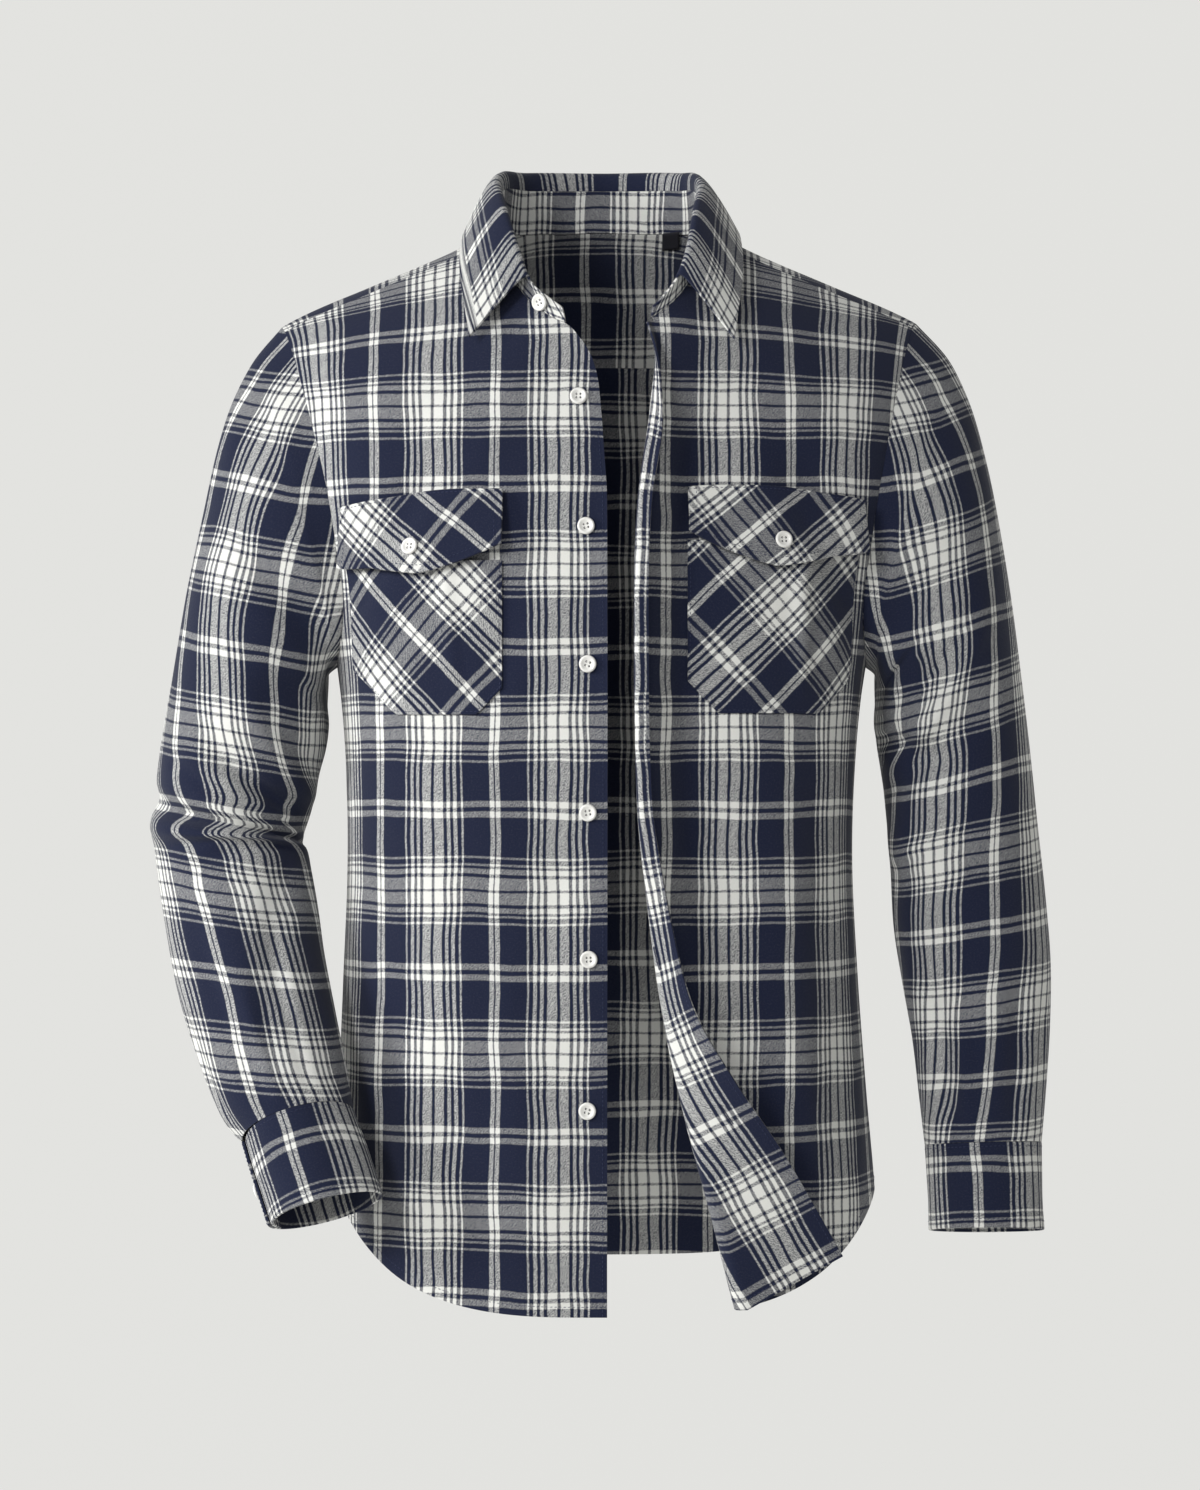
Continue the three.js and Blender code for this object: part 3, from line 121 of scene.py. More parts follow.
# Sleeve sections: both ends in the front view, middle front to back, half depth
RIGHT_ARM = [
    (-226, -56, -184, -292, -2, 62),
    (-246, -80, -191, -298, -1, 66),
    (-259, -106, -193, -308, -1, 68),
    (-270, -143, -193, -321, 0, 69),
    (-279, -186, -192, -334, 1, 68),
    (-290, -238, -194, -350, 3, 66),
    (-301, -300, -199, -369, 6, 62),
    (-310, -350, -203, -390, 9, 59),
    (-315, -396, -209, -410, 9, 56),
    (-312, -434, -205, -428, 5, 54),
    (-303, -480, -199, -455, -12, 52),
    (-292, -522, -193, -488, -36, 50),
    (-277, -562, -184, -526, -61, 48),
    (-259, -600, -174, -568, -83, 44),
    (-244, -617, -169, -593, -94, 37),
]
LEFT_ARM = [
    (220, -55, 183.5, -292, -2, 62),
    (243, -80, 190.5, -298, -1, 66),
    (256, -106, 192, -308, -1, 68),
    (267, -143, 192, -321, 0, 69),
    (276, -184, 191, -334, 1, 68),
    (285, -236, 193, -349, 2, 66),
    (293, -294, 196, -368, 3, 62),
    (300, -352, 199, -394, 3, 58),
    (305, -402, 202, -432, 1, 55),
    (310, -452, 204, -474, -4, 53),
    (313, -498, 210, -514, -10, 51),
    (312, -540, 216, -550, -16, 48),
    (309, -580, 220, -587, -22, 44),
    (305, -622, 224, -624, -27, 37),
]
RIGHT_CUFF = [
    (-244, -617, -169, -593, -94, 37),
    (-238, -635, -161, -612, -101, 37),
    (-231, -654, -154, -631, -108, 37),
    (-225, -671, -148, -649, -114, 37),
]
LEFT_CUFF = [
    (305, -622, 224, -624, -27, 37),
    (305, -642, 225, -644, -30, 37),
    (305, -662, 226, -664, -33, 37),
    (306, -682, 226, -682, -36, 37),
]

# Collar: top of the stand and edge of the leaf by degrees round from the nape
STAND_TURN = {
    -1: [-45, 0, 45, 90, 120, 135, 145, 153, 160],
    1: [-45, 0, 45, 90, 115, 128, 139, 146, 152],
}
STAND_X = {-1: [50, 0, -50, -71, -66, -57, -50, -36, -27], 1: [-50, 0, 50, 68, 64, 59, 52, 42, 35]}
STAND_Y = {-1: [45, 63, 45, 2, -38, -60, -70, -76, -79], 1: [45, 63, 45, 2, -36, -58, -69, -75, -77]}
STAND_Z = {-1: [47, 49, 47, 42, 18, -10, -29, -41, -48], 1: [47, 49, 47, 40, 17, -8, -27, -40, -47]}
LEAF_TURN = {-1: [-40, 0, 40, 75, 100, 122, 145], 1: [-40, 0, 40, 75, 98, 118, 139]}
LEAF_X = {-1: [60, 0, -60, -87, -93, -95, -88], 1: [-60, 0, 60, 86, 92, 94, 88]}
LEAF_FALL = {
    -1: [-0.38, -0.53, -0.38, -0.17, 0.04, 0.36, 0.74],
    1: [-0.38, -0.53, -0.38, -0.17, 0.05, 0.37, 0.74],
}
LEAF_LIFT = {-1: [9, 8, 9, 7, 6, 7, 9], 1: [9, 8, 9, 7, 6, 7, 9]}
LEAF_UP = {-1: [25, 25, 25, 23, 17, 11, 5], 1: [25, 25, 25, 23, 17, 11, 5]}
LEAF_OVER = {-1: [9, 9, 9, 8, 7, 5, 2], 1: [9, 9, 9, 8, 7, 5, 2]}
LEAF_OUT = {-1: [17, 17, 17, 11, 9, 6, 4], 1: [17, 17, 17, 11, 9, 6, 4]}


def track(keys, values, at):
    """A smooth curve through (keys, values), read at an array of places: cubic, flat beyond its ends."""
    keys = np.asarray(keys, float)
    values = np.asarray(values, float)
    at = np.clip(np.asarray(at, float), keys[0], keys[-1])
    slope = np.empty_like(values)
    slope[1:-1] = (values[2:] - values[:-2]) / (keys[2:] - keys[:-2])
    slope[0] = (values[1] - values[0]) / (keys[1] - keys[0])
    slope[-1] = (values[-1] - values[-2]) / (keys[-1] - keys[-2])
    i = np.clip(np.searchsorted(keys, at, side="left") - 1, 0, len(keys) - 2)
    span = keys[i + 1] - keys[i]
    t = (at - keys[i]) / span
    return (
        values[i] * (1 + 2 * t) * (1 - t) ** 2
        + slope[i] * span * t * (1 - t) ** 2
        + values[i + 1] * t * t * (3 - 2 * t)
        - slope[i + 1] * span * t * t * (1 - t)
    )


def smooth(value, low, high):
    """0 below low, 1 above high, smooth between."""
    t = np.clip((np.asarray(value, float) - low) / (high - low), 0, 1)
    return t * t * (3 - 2 * t)


def sideways(angle):
    return (np.sin(angle) + SQUARENESS * np.sin(3 * angle)) / (1 - SQUARENESS)


def outward(angle):
    return (np.cos(angle) - SQUARENESS * np.cos(3 * angle)) / (1 - SQUARENESS)


def half_width(z, side):
    return np.where(np.asarray(side) < 0, track(TORSO_Z, TORSO_LEFT, z), track(TORSO_Z, TORSO_RIGHT, z))


def ridge_z(x):
    return track(RIDGE_X, RIDGE_Z, np.abs(x))


def drop_at(fall):
    rounded = ROUND_DROP * np.clip(fall, 0, 1) ** ROUND_POWER
    return np.where(fall < 1, rounded, ROUND_DROP + LOWER_DROP * (fall - 1))


def fall_at(drop):
    return np.where(
        drop < ROUND_DROP,
        (np.maximum(drop, 0) / ROUND_DROP) ** (1 / ROUND_POWER),
        1 + (drop - ROUND_DROP) / LOWER_DROP,
    )


ANGLES = np.linspace(0, np.pi / 2, 400)
SIDEWAYS = sideways(ANGLES)


def angle_at(x, z):
    """The angle from the middle whose point lies at x at a height."""
    share = np.clip(np.abs(x) / half_width(z, x), 0, 1)
    return np.sign(x) * np.interp(share, SIDEWAYS, ANGLES)


def folds_at(folds, x, z):
    """Height of soft folds at points of the front view: each fades out past its ends."""
    height = np.zeros(np.broadcast(x, z).shape)
    for x1, z1, x2, z2, width, depth in folds:
        dx, dz = x2 - x1, z2 - z1
        along = ((x - x1) * dx + (z - z1) * dz) / (dx * dx + dz * dz)
        away = np.hypot(x - x1 - along * dx, z - z1 - along * dz)
        fade = smooth(along, -0.25, 0.25) * (1 - smooth(along, 0.75, 1.25))
        height += depth * fade * np.exp(-((away / width) ** 2))
    return height


def valley_at(x, z):
    """Depth inwards beside the turned-back edge: a trough, and less than 0 where the edge stands up."""
    away = x - track(TURN_Z, TURN_X, z)
    fade = smooth(-z, 60, 150) * (1 - smooth(-z, 400, 560))
    width = np.where(away < TROUGH_AWAY, TROUGH_NEAR, TROUGH_FAR)
    trough = TROUGH_DEPTH * np.exp(-(((away - TROUGH_AWAY) / width) ** 2))
    return fade * (trough - EDGE_RISE * np.exp(-((away / EDGE_REACH) ** 2)))


def body(angle, fall, extra=None):
    """Points of the body's outer face at angles from the middle and falls from the shoulder ridge."""
    angle, fall = np.broadcast_arrays(np.asarray(angle, float), np.asarray(fall, float))
    drop = drop_at(np.abs(fall))
    z = -drop
    for _ in range(12):
        x = half_width(z, angle) * sideways(angle)
        z = ridge_z(x) - drop
    front = fall >= 0
    depth = np.where(front, track(TORSO_Z, TORSO_FRONT, z), track(TORSO_Z, TORSO_BACK, z))
    depth = depth * outward(angle)
    depth = depth * np.sin(np.pi / 2 * np.minimum(1, np.abs(fall)))
    flat = smooth(np.abs(fall), 0.2, 0.7) * smooth(np.cos(angle), 0.02, 0.4)
    folds = np.where(front, folds_at(FRONT_FOLDS, x, z), folds_at(BACK_FOLDS, x, z)) * flat
    if extra is not None:
        folds = folds + extra(x, z, front) * smooth(np.abs(fall), 0.1, 0.3)
    valley = np.where(front, valley_at(x, z), 0)
    y = np.where(front, -1, 1) * (depth + folds * (0.3 + 0.7 * outward(angle)) - valley)
    x = x + np.sign(x) * folds * 0.7 * np.abs(np.sin(angle))
    return np.stack([x, y, z], -1)


def body_at_z(angle, z, side, extra=None):
    x = half_width(z, angle) * sideways(angle)
    return body(angle, side * fall_at(ridge_z(x) - z), extra)


def armhole(side, part, face):
    """Angle and fall on one armhole, from the shoulder (0) to the underarm (1)."""
    part = np.asarray(part, float)
    angle = side * np.radians(track(ARMHOLE_PART, ARMHOLE_ANGLE, part))
    top_x = half_width(-57.0, side) * sideways(np.radians(ARMHOLE_ANGLE[0]))
    top = ridge_z(top_x)
    z = top + (UNDERARM_Z - top) * (1 - np.cos(np.pi * part)) / 2
    x = half_width(z, side) * sideways(np.abs(angle))
    return angle, face * fall_at(ridge_z(x) - z)


PARTS = np.linspace(0, 1, 800)


def armhole_part(side, fall):
    """The armhole's part at a fall."""
    return np.interp(fall, np.abs(armhole(side, PARTS, 1)[1]), PARTS)


def neckline(turn):
    """Angle and fall on the neckline at degrees round from the nape, minus to the wearer's right."""
    turn = np.asarray(turn, float)
    x = NECK_HALF * np.sin(np.radians(turn))
    behind = np.cos(np.radians(turn))
    ahead = -NECK_FRONT * (1 - np.clip(1 + behind, 0, 1) ** NECK_SQUARE)
    y = np.where(behind > 0, NECK_BACK * behind, ahead)
    z = ridge_z(x)
    for _ in range(40):
        angle = angle_at(x, z)
        depth = np.where(y > 0, track(TORSO_Z, TORSO_BACK, z), track(TORSO_Z, TORSO_FRONT, z))
        share = np.clip(np.abs(y) / (depth * outward(angle)), 0, 0.999)
        fall = 2 / np.pi * np.arcsin(share)
        z = 0.5 * z + 0.5 * (ridge_z(x) - drop_at(fall))
    return angle, np.where(y > 0, -fall, fall)


def hem_z(angle, face):
    base = HEM_FRONT if face > 0 else HEM_BACK
    return base + (HEM_SIDE - base) * (np.sin(angle) ** 2) ** HEM_POWER


def front_ends(side, edge, share):
    """Both ends of a front's rows above the underarm, by share of the way up (0 to 1)."""
    corner = 0.6
    neck_end = NECK_END[side]
    yoke_end = yoke_turn(side)
    turn = neck_end + (yoke_end - neck_end) * np.clip((share - corner) / (1 - corner), 0, 1)
    angle_in, fall_in = neckline(side * turn)
    corner_angle, corner_fall = neckline(side * neck_end)
    corner_z = body(corner_angle, corner_fall)[..., 2]
    z = UNDERARM_Z + (corner_z - UNDERARM_Z) * np.clip(share / corner, 0, 1)
    x = edge(z)
    lower = share < corner
    angle_in = np.where(lower, angle_at(x, z), angle_in)
    fall_in = np.where(lower, fall_at(ridge_z(x) - z), fall_in)
    top = armhole_part(side, YOKE_FRONT)
    angle_out, fall_out = armhole(side, 1 + (top - 1) * share, 1)
    return angle_in, fall_in, angle_out, fall_out


def yoke_turn(side):
    """Degrees round from the nape at which the yoke's front seam begins."""
    turns = np.linspace(90, 130, 161)
    return float(np.interp(YOKE_FRONT, neckline(side * turns)[1], turns))


def front_grid(side, edge, across, rows, extra):
    """A front: across runs from its free edge (0) to its side (1); rows go up from the hem, 0 to 1 below
    the underarm and 1 to 2 above it. Above, rows bend from the neckline to the armhole."""
    s, t = np.meshgrid(across, rows)
    low = np.clip(t, 0, 1)
    edge_z = HEM_FRONT + (UNDERARM_Z - HEM_FRONT) * low
    start = angle_at(edge(edge_z), edge_z)
    angle = start + (side * np.pi / 2 - start) * s
    bottom = hem_z(angle, 1)
    lower = body_at_z(angle, bottom + (UNDERARM_Z - bottom) * low, 1, extra)
    share = np.clip(t - 1, 0, 1)
    a0, f0, a1, f1 = front_ends(side, edge, share)
    b0, g0, b1, g1 = front_ends(side, edge, np.zeros_like(share))
    angle = a0 + (a1 - a0) * s
    level_x = half_width(UNDERARM_Z, side) * sideways(np.abs(b0 + (b1 - b0) * s))
    level = fall_at(ridge_z(level_x) - UNDERARM_Z) - (g0 + (g1 - g0) * s)
    upper = body(angle, f0 + (f1 - f0) * s + level * (1 - share) ** 2, extra)
    return np.where((t <= 1)[..., None], lower, upper)


def button_edge(z):
    return track(BUTTON_EDGE_Z, BUTTON_EDGE_X, z)


def fold_edge(z):
    return track(TURN_Z, TURN_X, z)


def turned_back(fold, beside, shares):
    """The turned-back edge: from each point of the fold line it rolls forward through its angle round a
    small radius, then runs straight back over the front. shares are arc lengths over the whole width."""
    z = fold[:, 2]
    whole = track(TURN_Z, TURN_WIDTH, z)[:, None]
    turn = np.radians(track(TURN_Z, TURN_ANGLE, z))[:, None]
    radius = np.minimum(track(TURN_Z, TURN_RADIUS, z)[:, None], 0.6 * whole / turn)
    forward = fold - beside
    forward[:, 2] = 0
    forward /= np.linalg.norm(forward, axis=1)[:, None]
    out = np.stack([forward[:, 1], -forward[:, 0], 0 * z], -1)
    out *= np.where(out[:, 1] > 0, -1, 1)[:, None]
    lean = np.arctan2(fold_edge(z - 12) - fold_edge(z + 12), 24)[:, None]
    width = whole * shares[None, :]
    bent = np.minimum(width / radius, turn)
    straight = np.maximum(0, width - radius * turn)
    ahead = radius * np.sin(bent) + straight * np.cos(turn) * np.cos(2 * lean)
    over = radius * (1 - np.cos(bent)) + straight * np.sin(turn)
    rise = straight * np.sin(2 * lean) * smooth(turn, 1.7, 2.1)
    grid = fold[:, None, :] + forward[:, None, :] * ahead[..., None] + out[:, None, :] * over[..., None]
    grid[..., 2] += rise
    return grid


def back_grid(across, rows, extra):
    """The back: across runs from the wearer's left side to the right; rows go up from the hem, 0 to 1
    below the underarm and 1 to 2 from there to the yoke's seam."""
    s, t = np.meshgrid(across, rows)
    turn = 1 - 2 * s
    low = np.clip(t, 0, 1)
    angle = turn * np.pi / 2
    bottom = hem_z(angle, -1)
    lower = body_at_z(angle, bottom + (UNDERARM_Z - bottom) * low, -1, extra)
    share = np.clip(t - 1, 0, 1)
    a0, f0 = armhole(1, 1 + (yoke_arm_part(1) - 1) * share, -1)
    a1, f1 = armhole(-1, 1 + (yoke_arm_part(-1) - 1) * share, -1)
    z0, z1 = body(a0, f0)[..., 2], body(a1, f1)[..., 2]
    middle = UNDERARM_Z + (YOKE_BACK_Z[0] - UNDERARM_Z) * share
    ends = z0 + (z1 - z0) * s
    upper = body_at_z(a0 + (a1 - a0) * s, middle + (ends - middle) * turn**2, -1, extra)
    return np.where((t <= 1)[..., None], lower, upper)


def yoke_arm_part(side):
    """The armhole's part at which the yoke's back seam ends."""
    angle, fall = armhole(side, PARTS, -1)
    return float(np.interp(-YOKE_BACK_Z[1], -body(angle, fall)[:, 2], PARTS))


def yoke_grid(around, out, extra):
    """The yoke: around runs from its right front seam behind the neck to its left front seam, out runs
    from the neckline to the armholes and the back seam. Fractions of 2/15 at each end of around follow
    the armholes, as in the CAD."""
    s, t = np.meshgrid(around, out)
    turns = -yoke_turn(-1) + (yoke_turn(-1) + yoke_turn(1)) * s
    a0, f0 = neckline(turns)
    f0 = np.where((s == 0) | (s == 1), YOKE_FRONT, f0)
    arm = 4 / 30
    share = np.clip(np.minimum(s, 1 - s) / arm, 0, 1)
    side = np.where(s < 0.5, -1, 1)
    parts = {}
    for one in (-1, 1):
        start, stop = -armhole_part(one, YOKE_FRONT), yoke_arm_part(one)
        along = start + (stop - start) * share
        angle, fall = armhole(one, np.abs(along), 1)
        parts[one] = (angle, fall * np.where(along < 0, 1, -1))
    a1 = np.where(side < 0, parts[-1][0], parts[1][0])
    f1 = np.where(side < 0, parts[-1][1], parts[1][1])
    across = np.clip((s - arm) / (1 - 2 * arm), 0, 1)
    left, right = armhole(-1, yoke_arm_part(-1), -1)[0], armhole(1, yoke_arm_part(1), -1)[0]
    middle = (s > arm) & (s < 1 - arm)
    seam_angle = left + (right - left) * across
    seam_z = YOKE_BACK_Z[0] + (YOKE_BACK_Z[1] - YOKE_BACK_Z[0]) * (2 * across - 1) ** 2
    seam_x = half_width(seam_z, seam_angle) * sideways(seam_angle)
    a1 = np.where(middle, seam_angle, a1)
    f1 = np.where(middle, -fall_at(ridge_z(seam_x) - seam_z), f1)
    return body(a0 + (a1 - a0) * t, f0 + (f1 - f0) * t, extra)


def armhole_ring(side, angles):
    """The armhole as a ring, read at angles round the sleeve (180 at the underarm, 90 at the front)."""
    top, seam = armhole_part(side, YOKE_FRONT), yoke_arm_part(side)
    k = (180 - angles) / 360 * 23
    along = np.interp(k, [0, 10, 14, 23], [-1, -top, seam, 1])
    angle, fall = armhole(side, np.abs(along), 1)
    return body(angle, fall * np.where(along < 0, 1, -1))


def tube(table, places, angles):
    """Elliptical sections of a table of ends, middle and half depth, at places in rows of the table."""
    table = np.asarray(table, float)
    numbers = np.arange(len(table))

    def ends(at):
        read = [track(numbers, table[:, c], at) for c in range(5)]
        outer = np.stack([read[0], read[4], read[1]], -1)
        inner = np.stack([read[2], read[4], read[3]], -1)
        return (outer + inner) / 2, (outer - inner) / 2

    middle, across = ends(places)
    ahead = ends(np.minimum(len(table) - 1, places + 0.3))[0]
    along = ahead - ends(np.maximum(0, places - 0.3))[0]
    forward = np.cross(along, across)
    forward /= np.linalg.norm(forward, axis=1)[:, None]
    forward *= np.where(forward[:, 1] > 0, -1, 1)[:, None]
    depth = track(numbers, table[:, 5], places)[:, None]
    a = np.radians(angles)
    return (
        middle[:, None]
        + across[:, None] * np.cos(a)[None, :, None]
        + (forward * depth)[:, None] * np.sin(a)[None, :, None]
    )


def sleeve_grid(side, table, creases, rows, angles):
    """A sleeve: its first ring is the armhole, and the difference from the table's first section fades
    over a third of its length. Creases then move it in and out."""
    first = tube(table, np.zeros(1), angles)[0]
    ring = armhole_ring(side, angles)
    away = (1 - smooth(rows, 0, 0.34))[:, None, None]
    points = tube(table, rows * (len(table) - 1), angles) + (ring - first)[None] * away
    centre = points[:, :-1].mean(axis=1)[:, None]
    outwards = points - centre
    outwards /= np.linalg.norm(outwards, axis=-1)[..., None]
    height = np.zeros(points.shape[:2])
    turn, share = np.meshgrid(angles, rows)
    for a1, s1, a2, s2, width, depth in creases:
        u, v = (a2 - a1) * 0.95, (s2 - s1) * 620
        middle = (a1 + a2) / 2
        wrapped = (turn - middle + 540) % 360 - 180 + (a2 - a1) / 2
        du, dv = wrapped * 0.95, (share - s1) * 620
        along = (du * u + dv * v) / (u * u + v * v)
        off = np.hypot(du - along * u, dv - along * v)
        fade = smooth(along, -0.3, 0.3) * (1 - smooth(along, 0.7, 1.3))
        height += depth * fade * np.exp(-((off / width) ** 2))
    keep = smooth(share, 0.01, 0.1) * (1 - smooth(share, 0.95, 1))
    return points + outwards * (height * keep)[..., None]


def cuff_grid(side, table, arm, edge, rows, laps):
    """A cuff: from its lapped edge once round behind, to tuck under that edge. Its top is the
    sleeve's end."""
    angles = edge - laps * 360
    wrapped = (angles + 180) % 360 - 180
    end = tube(arm, np.array([len(arm) - 1.0]), wrapped)[0]
    first = tube(table, np.zeros(1), wrapped)[0]
    points = tube(table, rows * (len(table) - 1), wrapped)
    points += (end - first)[None] * (1 - rows)[:, None, None]
    centre = tube(table, rows * (len(table) - 1), np.array([0.0, 180.0])).mean(axis=1)[:, None]
    inwards = centre - points
    inwards /= np.linalg.norm(inwards, axis=-1)[..., None]
    return points + inwards * (2.6 * smooth(laps, 0.83, 0.98))[None, :, None]


def collar_curves(turns):
    """Neckline, stand top and leaf edge at degrees round from the nape."""
    side = np.where(turns < 0, -1, 1)

    def both(table, keys):
        left = track(keys[-1], table[-1], np.abs(turns))
        right = track(keys[1], table[1], np.abs(turns))
        return np.where(side < 0, left, right)

    angle, fall = neckline(turns)
    base = body(angle, fall)
    top = np.stack([both(STAND_X, STAND_TURN), both(STAND_Y, STAND_TURN), both(STAND_Z, STAND_TURN)], -1)
    x = both(LEAF_X, LEAF_TURN)
    fall = both(LEAF_FALL, LEAF_TURN)
    z = ridge_z(x) - drop_at(np.abs(fall))
    angle = angle_at(x, z)
    edge = body(angle, fall) + normal_at(angle, fall) * both(LEAF_LIFT, LEAF_TURN)[:, None]
    rolls = [both(table, LEAF_TURN)[:, None] for table in (LEAF_UP, LEAF_OVER, LEAF_OUT)]
    return base, top, edge, rolls


def normal_at(angle, fall):
    """Outward normals of the body, from two small steps."""
    angle = np.clip(angle, -1.55, 1.55)
    turned = body(angle + 0.01, fall) - body(angle - 0.01, fall)
    fallen = body(angle, fall + 0.01) - body(angle, fall - 0.01)
    normal = -np.cross(turned, fallen)
    return normal / np.linalg.norm(normal, axis=-1)[..., None]


def leaf_grid(turns, rows):
    """The leaf: a cubic curve from the stand's top, up over a roll and down to its edge."""
    base, top, edge, (rise, over, out) = collar_curves(turns)
    up = top - base
    up /= np.linalg.norm(up, axis=1)[:, None]
    away = edge - top
    away[:, 2] = 0
    away /= np.linalg.norm(away, axis=1)[:, None]
    first = top + up * rise
    second = top + up * over + away * out
    t = rows[:, None, None]
    return (
        top[None] * (1 - t) ** 3
        + first[None] * 3 * t * (1 - t) ** 2
        + second[None] * 3 * t * t * (1 - t)
        + edge[None] * t**3
    )


# Pockets and flaps in the front view, -1 on the wearer's right, and how their checks lie
POCKET = {-1: (-172, -67, 4, -222, -326, 30, 18), 1: (57.5, 172, -5, -208, -325, 22, 22)}
POCKET_FLAP = {
    -1: (-176, -66.5, -184, -174, -224, -212, -231),
    1: (56, 177, -172, -179, -202, -213, -226),
}
POCKET_MM, FLAP_MM = 1.2, 2.2
FLAP_OFF, FLAP_LIFT, FLAP_LIFT_POWER = 4.6, 6.5, 1.3
POCKET_BIAS = {-1: ((-98.1, -241.6), 45), 1: ((124.4, -251.4), -43)}
FLAP_BIAS = {-1: ((-166.9, -191.2), 40), 1: ((75.5, -168.9), -38)}

# Buttons: places in the front view, mm off the cloth, and turned profiles as (radius, height) in mm
FRONT_BUTTONS = [(-16, -110), (-10.8, -199), (-9.6, -292), (-9.5, -392), (-9, -491), (-10, -593)]
FLAP_BUTTONS = {"right": (-130.5, -212), "left": (122.5, -208)}
STAND_BUTTON = (-43, -45)
FRONT_BUTTON_OFF, BUTTON_OFF = 0.3, 0.2
BUTTON_PROFILE = [
    (0.01, 1.3),
    (2.7, 1.3),
    (3.3, 1.6),
    (4.1, 2.2),
    (4.8, 2.4),
    (5.4, 2.2),
    (5.85, 1.6),
    (5.9, 0.9),
    (5.5, 0.3),
    (0.01, 0.1),
]
# Each hole is a dark disc just above the button's face: painted shade standing in for the hole
HOLE_PROFILE = [(0.01, 1.36), (0.72, 1.36), (0.72, 1.2)]
THREAD_PROFILE = [(0.01, -1.3), (0.24, -1.2), (0.3, 0), (0.24, 1.2), (0.01, 1.3)]
HOLE_PLACE, THREAD_HEIGHT = 1.25, 1.42
BUTTONHOLE_Z = (-491, -593)

# Body creases that are too fine for the solids, as (x1, z1, x2, z2, width, height) in mm
FINE_FRONT = [
    (-172, -262, -128, -196, 7, -2.2),
    (-176, -300, -140, -262, 8, 1.8),
    (-168, -380, -96, -436, 9, 1.6),
    (-150, -330, -92, -352, 8, -1.2),
    (-30, -240, -64, -330, 12, 1.4),
    (-24, -420, -58, -560, 11, -1.5),
    (-96, -470, -84, -640, 10, 1.6),
    (-150, -560, -146, -680, 10, -1.8),
    (-30, -600, -34, -722, 9, 1.2),
    (-96, -90, -150, -160, 14, -1.6),
    (-60, -96, -84, -160, 12, 1.2),
    (172, -262, 132, -190, 7, -2.2),
    (174, -300, 138, -260, 8, 1.8),
    (148, -320, 164, -480, 9, 2.2),
    (104, -480, 116, -640, 10, -2.0),
    (66, -330, 62, -470, 9, -1.6),
    (140, -560, 146, -690, 9, 1.8),
    (100, -90, 150, -160, 14, -1.6),
    (70, -110, 60, -180, 10, 1.2),
]
FINE_BACK = [
    (-172, -262, -120, -190, 8, -2.2),
    (172, -262, 120, -190, 8, -2.2),
    (-150, -360, -60, -400, 10, 1.6),
    (140, -350, 50, -392, 10, -1.6),
    (-80, -430, -88, -690, 10, 2.0),
    (8, -420, 0, -700, 10, -2.0),
    (84, -420, 92, -690, 10, 1.8),
    (-150, -560, -146, -680, 10, -1.8),
    (150, -560, 148, -680, 10, 1.6),
]

# Sleeve creases: from and to in degrees round (0 outside, 90 front) and share of length, width, height
RIGHT_CREASES = [
    (5, 0.552, 165, 0.588, 8, -9),
    (10, 0.585, 150, 0.622, 12, 5),
    (150, 0.52, 70, 0.45, 13, -8),
    (165, 0.47, 95, 0.38, 14, 5),
    (160, 0.6, 80, 0.56, 15, 5),
    (150, 0.1, 70, 0.26, 18, -5),
    (140, 0.68, 100, 0.9, 12, -4),
    (200, 0.5, 280, 0.42, 15, -5),
    (60, 0.75, 75, 0.97, 10, -3),
    (250, 0.75, 262, 0.97, 12, -3),
    (170, 0.18, 110, 0.34, 9, -3),
    (60, 0.12, 30, 0.3, 14, -2.5),
    (168, 0.56, 40, 0.5, 6, -2.5),
    (150, 0.63, 60, 0.68, 9, -2.5),
    (120, 0.8, 118, 0.97, 6, -2),
    (88, 0.84, 90, 0.98, 5, 1.8),
    (20, 0.82, 26, 0.98, 6, -1.8),
    (205, 0.82, 208, 0.98, 6, -1.8),
    (300, 0.8, 305, 0.98, 7, -2),
]
LEFT_CREASES = [
    (155, 0.2, 85, 0.44, 15, -8),
    (168, 0.36, 100, 0.52, 12, -7),
    (130, 0.44, 60, 0.38, 11, 4),
    (150, 0.1, 70, 0.3, 18, -5),
    (165, 0.3, 85, 0.4, 16, -4),
    (160, 0.5, 60, 0.46, 16, -4),
    (165, 0.58, 100, 0.66, 15, 4),
    (210, 0.5, 290, 0.44, 16, -5),
    (135, 0.78, 128, 0.98, 11, -4),
    (60, 0.8, 64, 0.98, 10, -3),
    (165, 0.2, 100, 0.28, 8, -2.5),
    (150, 0.4, 60, 0.36, 8, 2),
    (160, 0.62, 70, 0.6, 7, -2.2),
    (110, 0.84, 108, 0.98, 6, 1.8),
    (30, 0.82, 34, 0.98, 6, -1.8),
    (200, 0.84, 205, 0.98, 6, -1.8),
    (290, 0.82, 292, 0.98, 7, -2),
]

# One repeat of the check, in mm, and the colours of its yarns
WARP_REPEAT, WEFT_REPEAT = 86.5, 110.0
WARP_BARS = [(0.012, 0.082), (0.516, 0.546), (0.612, 0.670), (0.720, 0.774), (0.830, 0.976)]
WEFT_BARS = [(0.028, 0.103), (0.584, 0.611), (0.674, 0.701), (0.734, 0.797), (0.841, 0.984)]

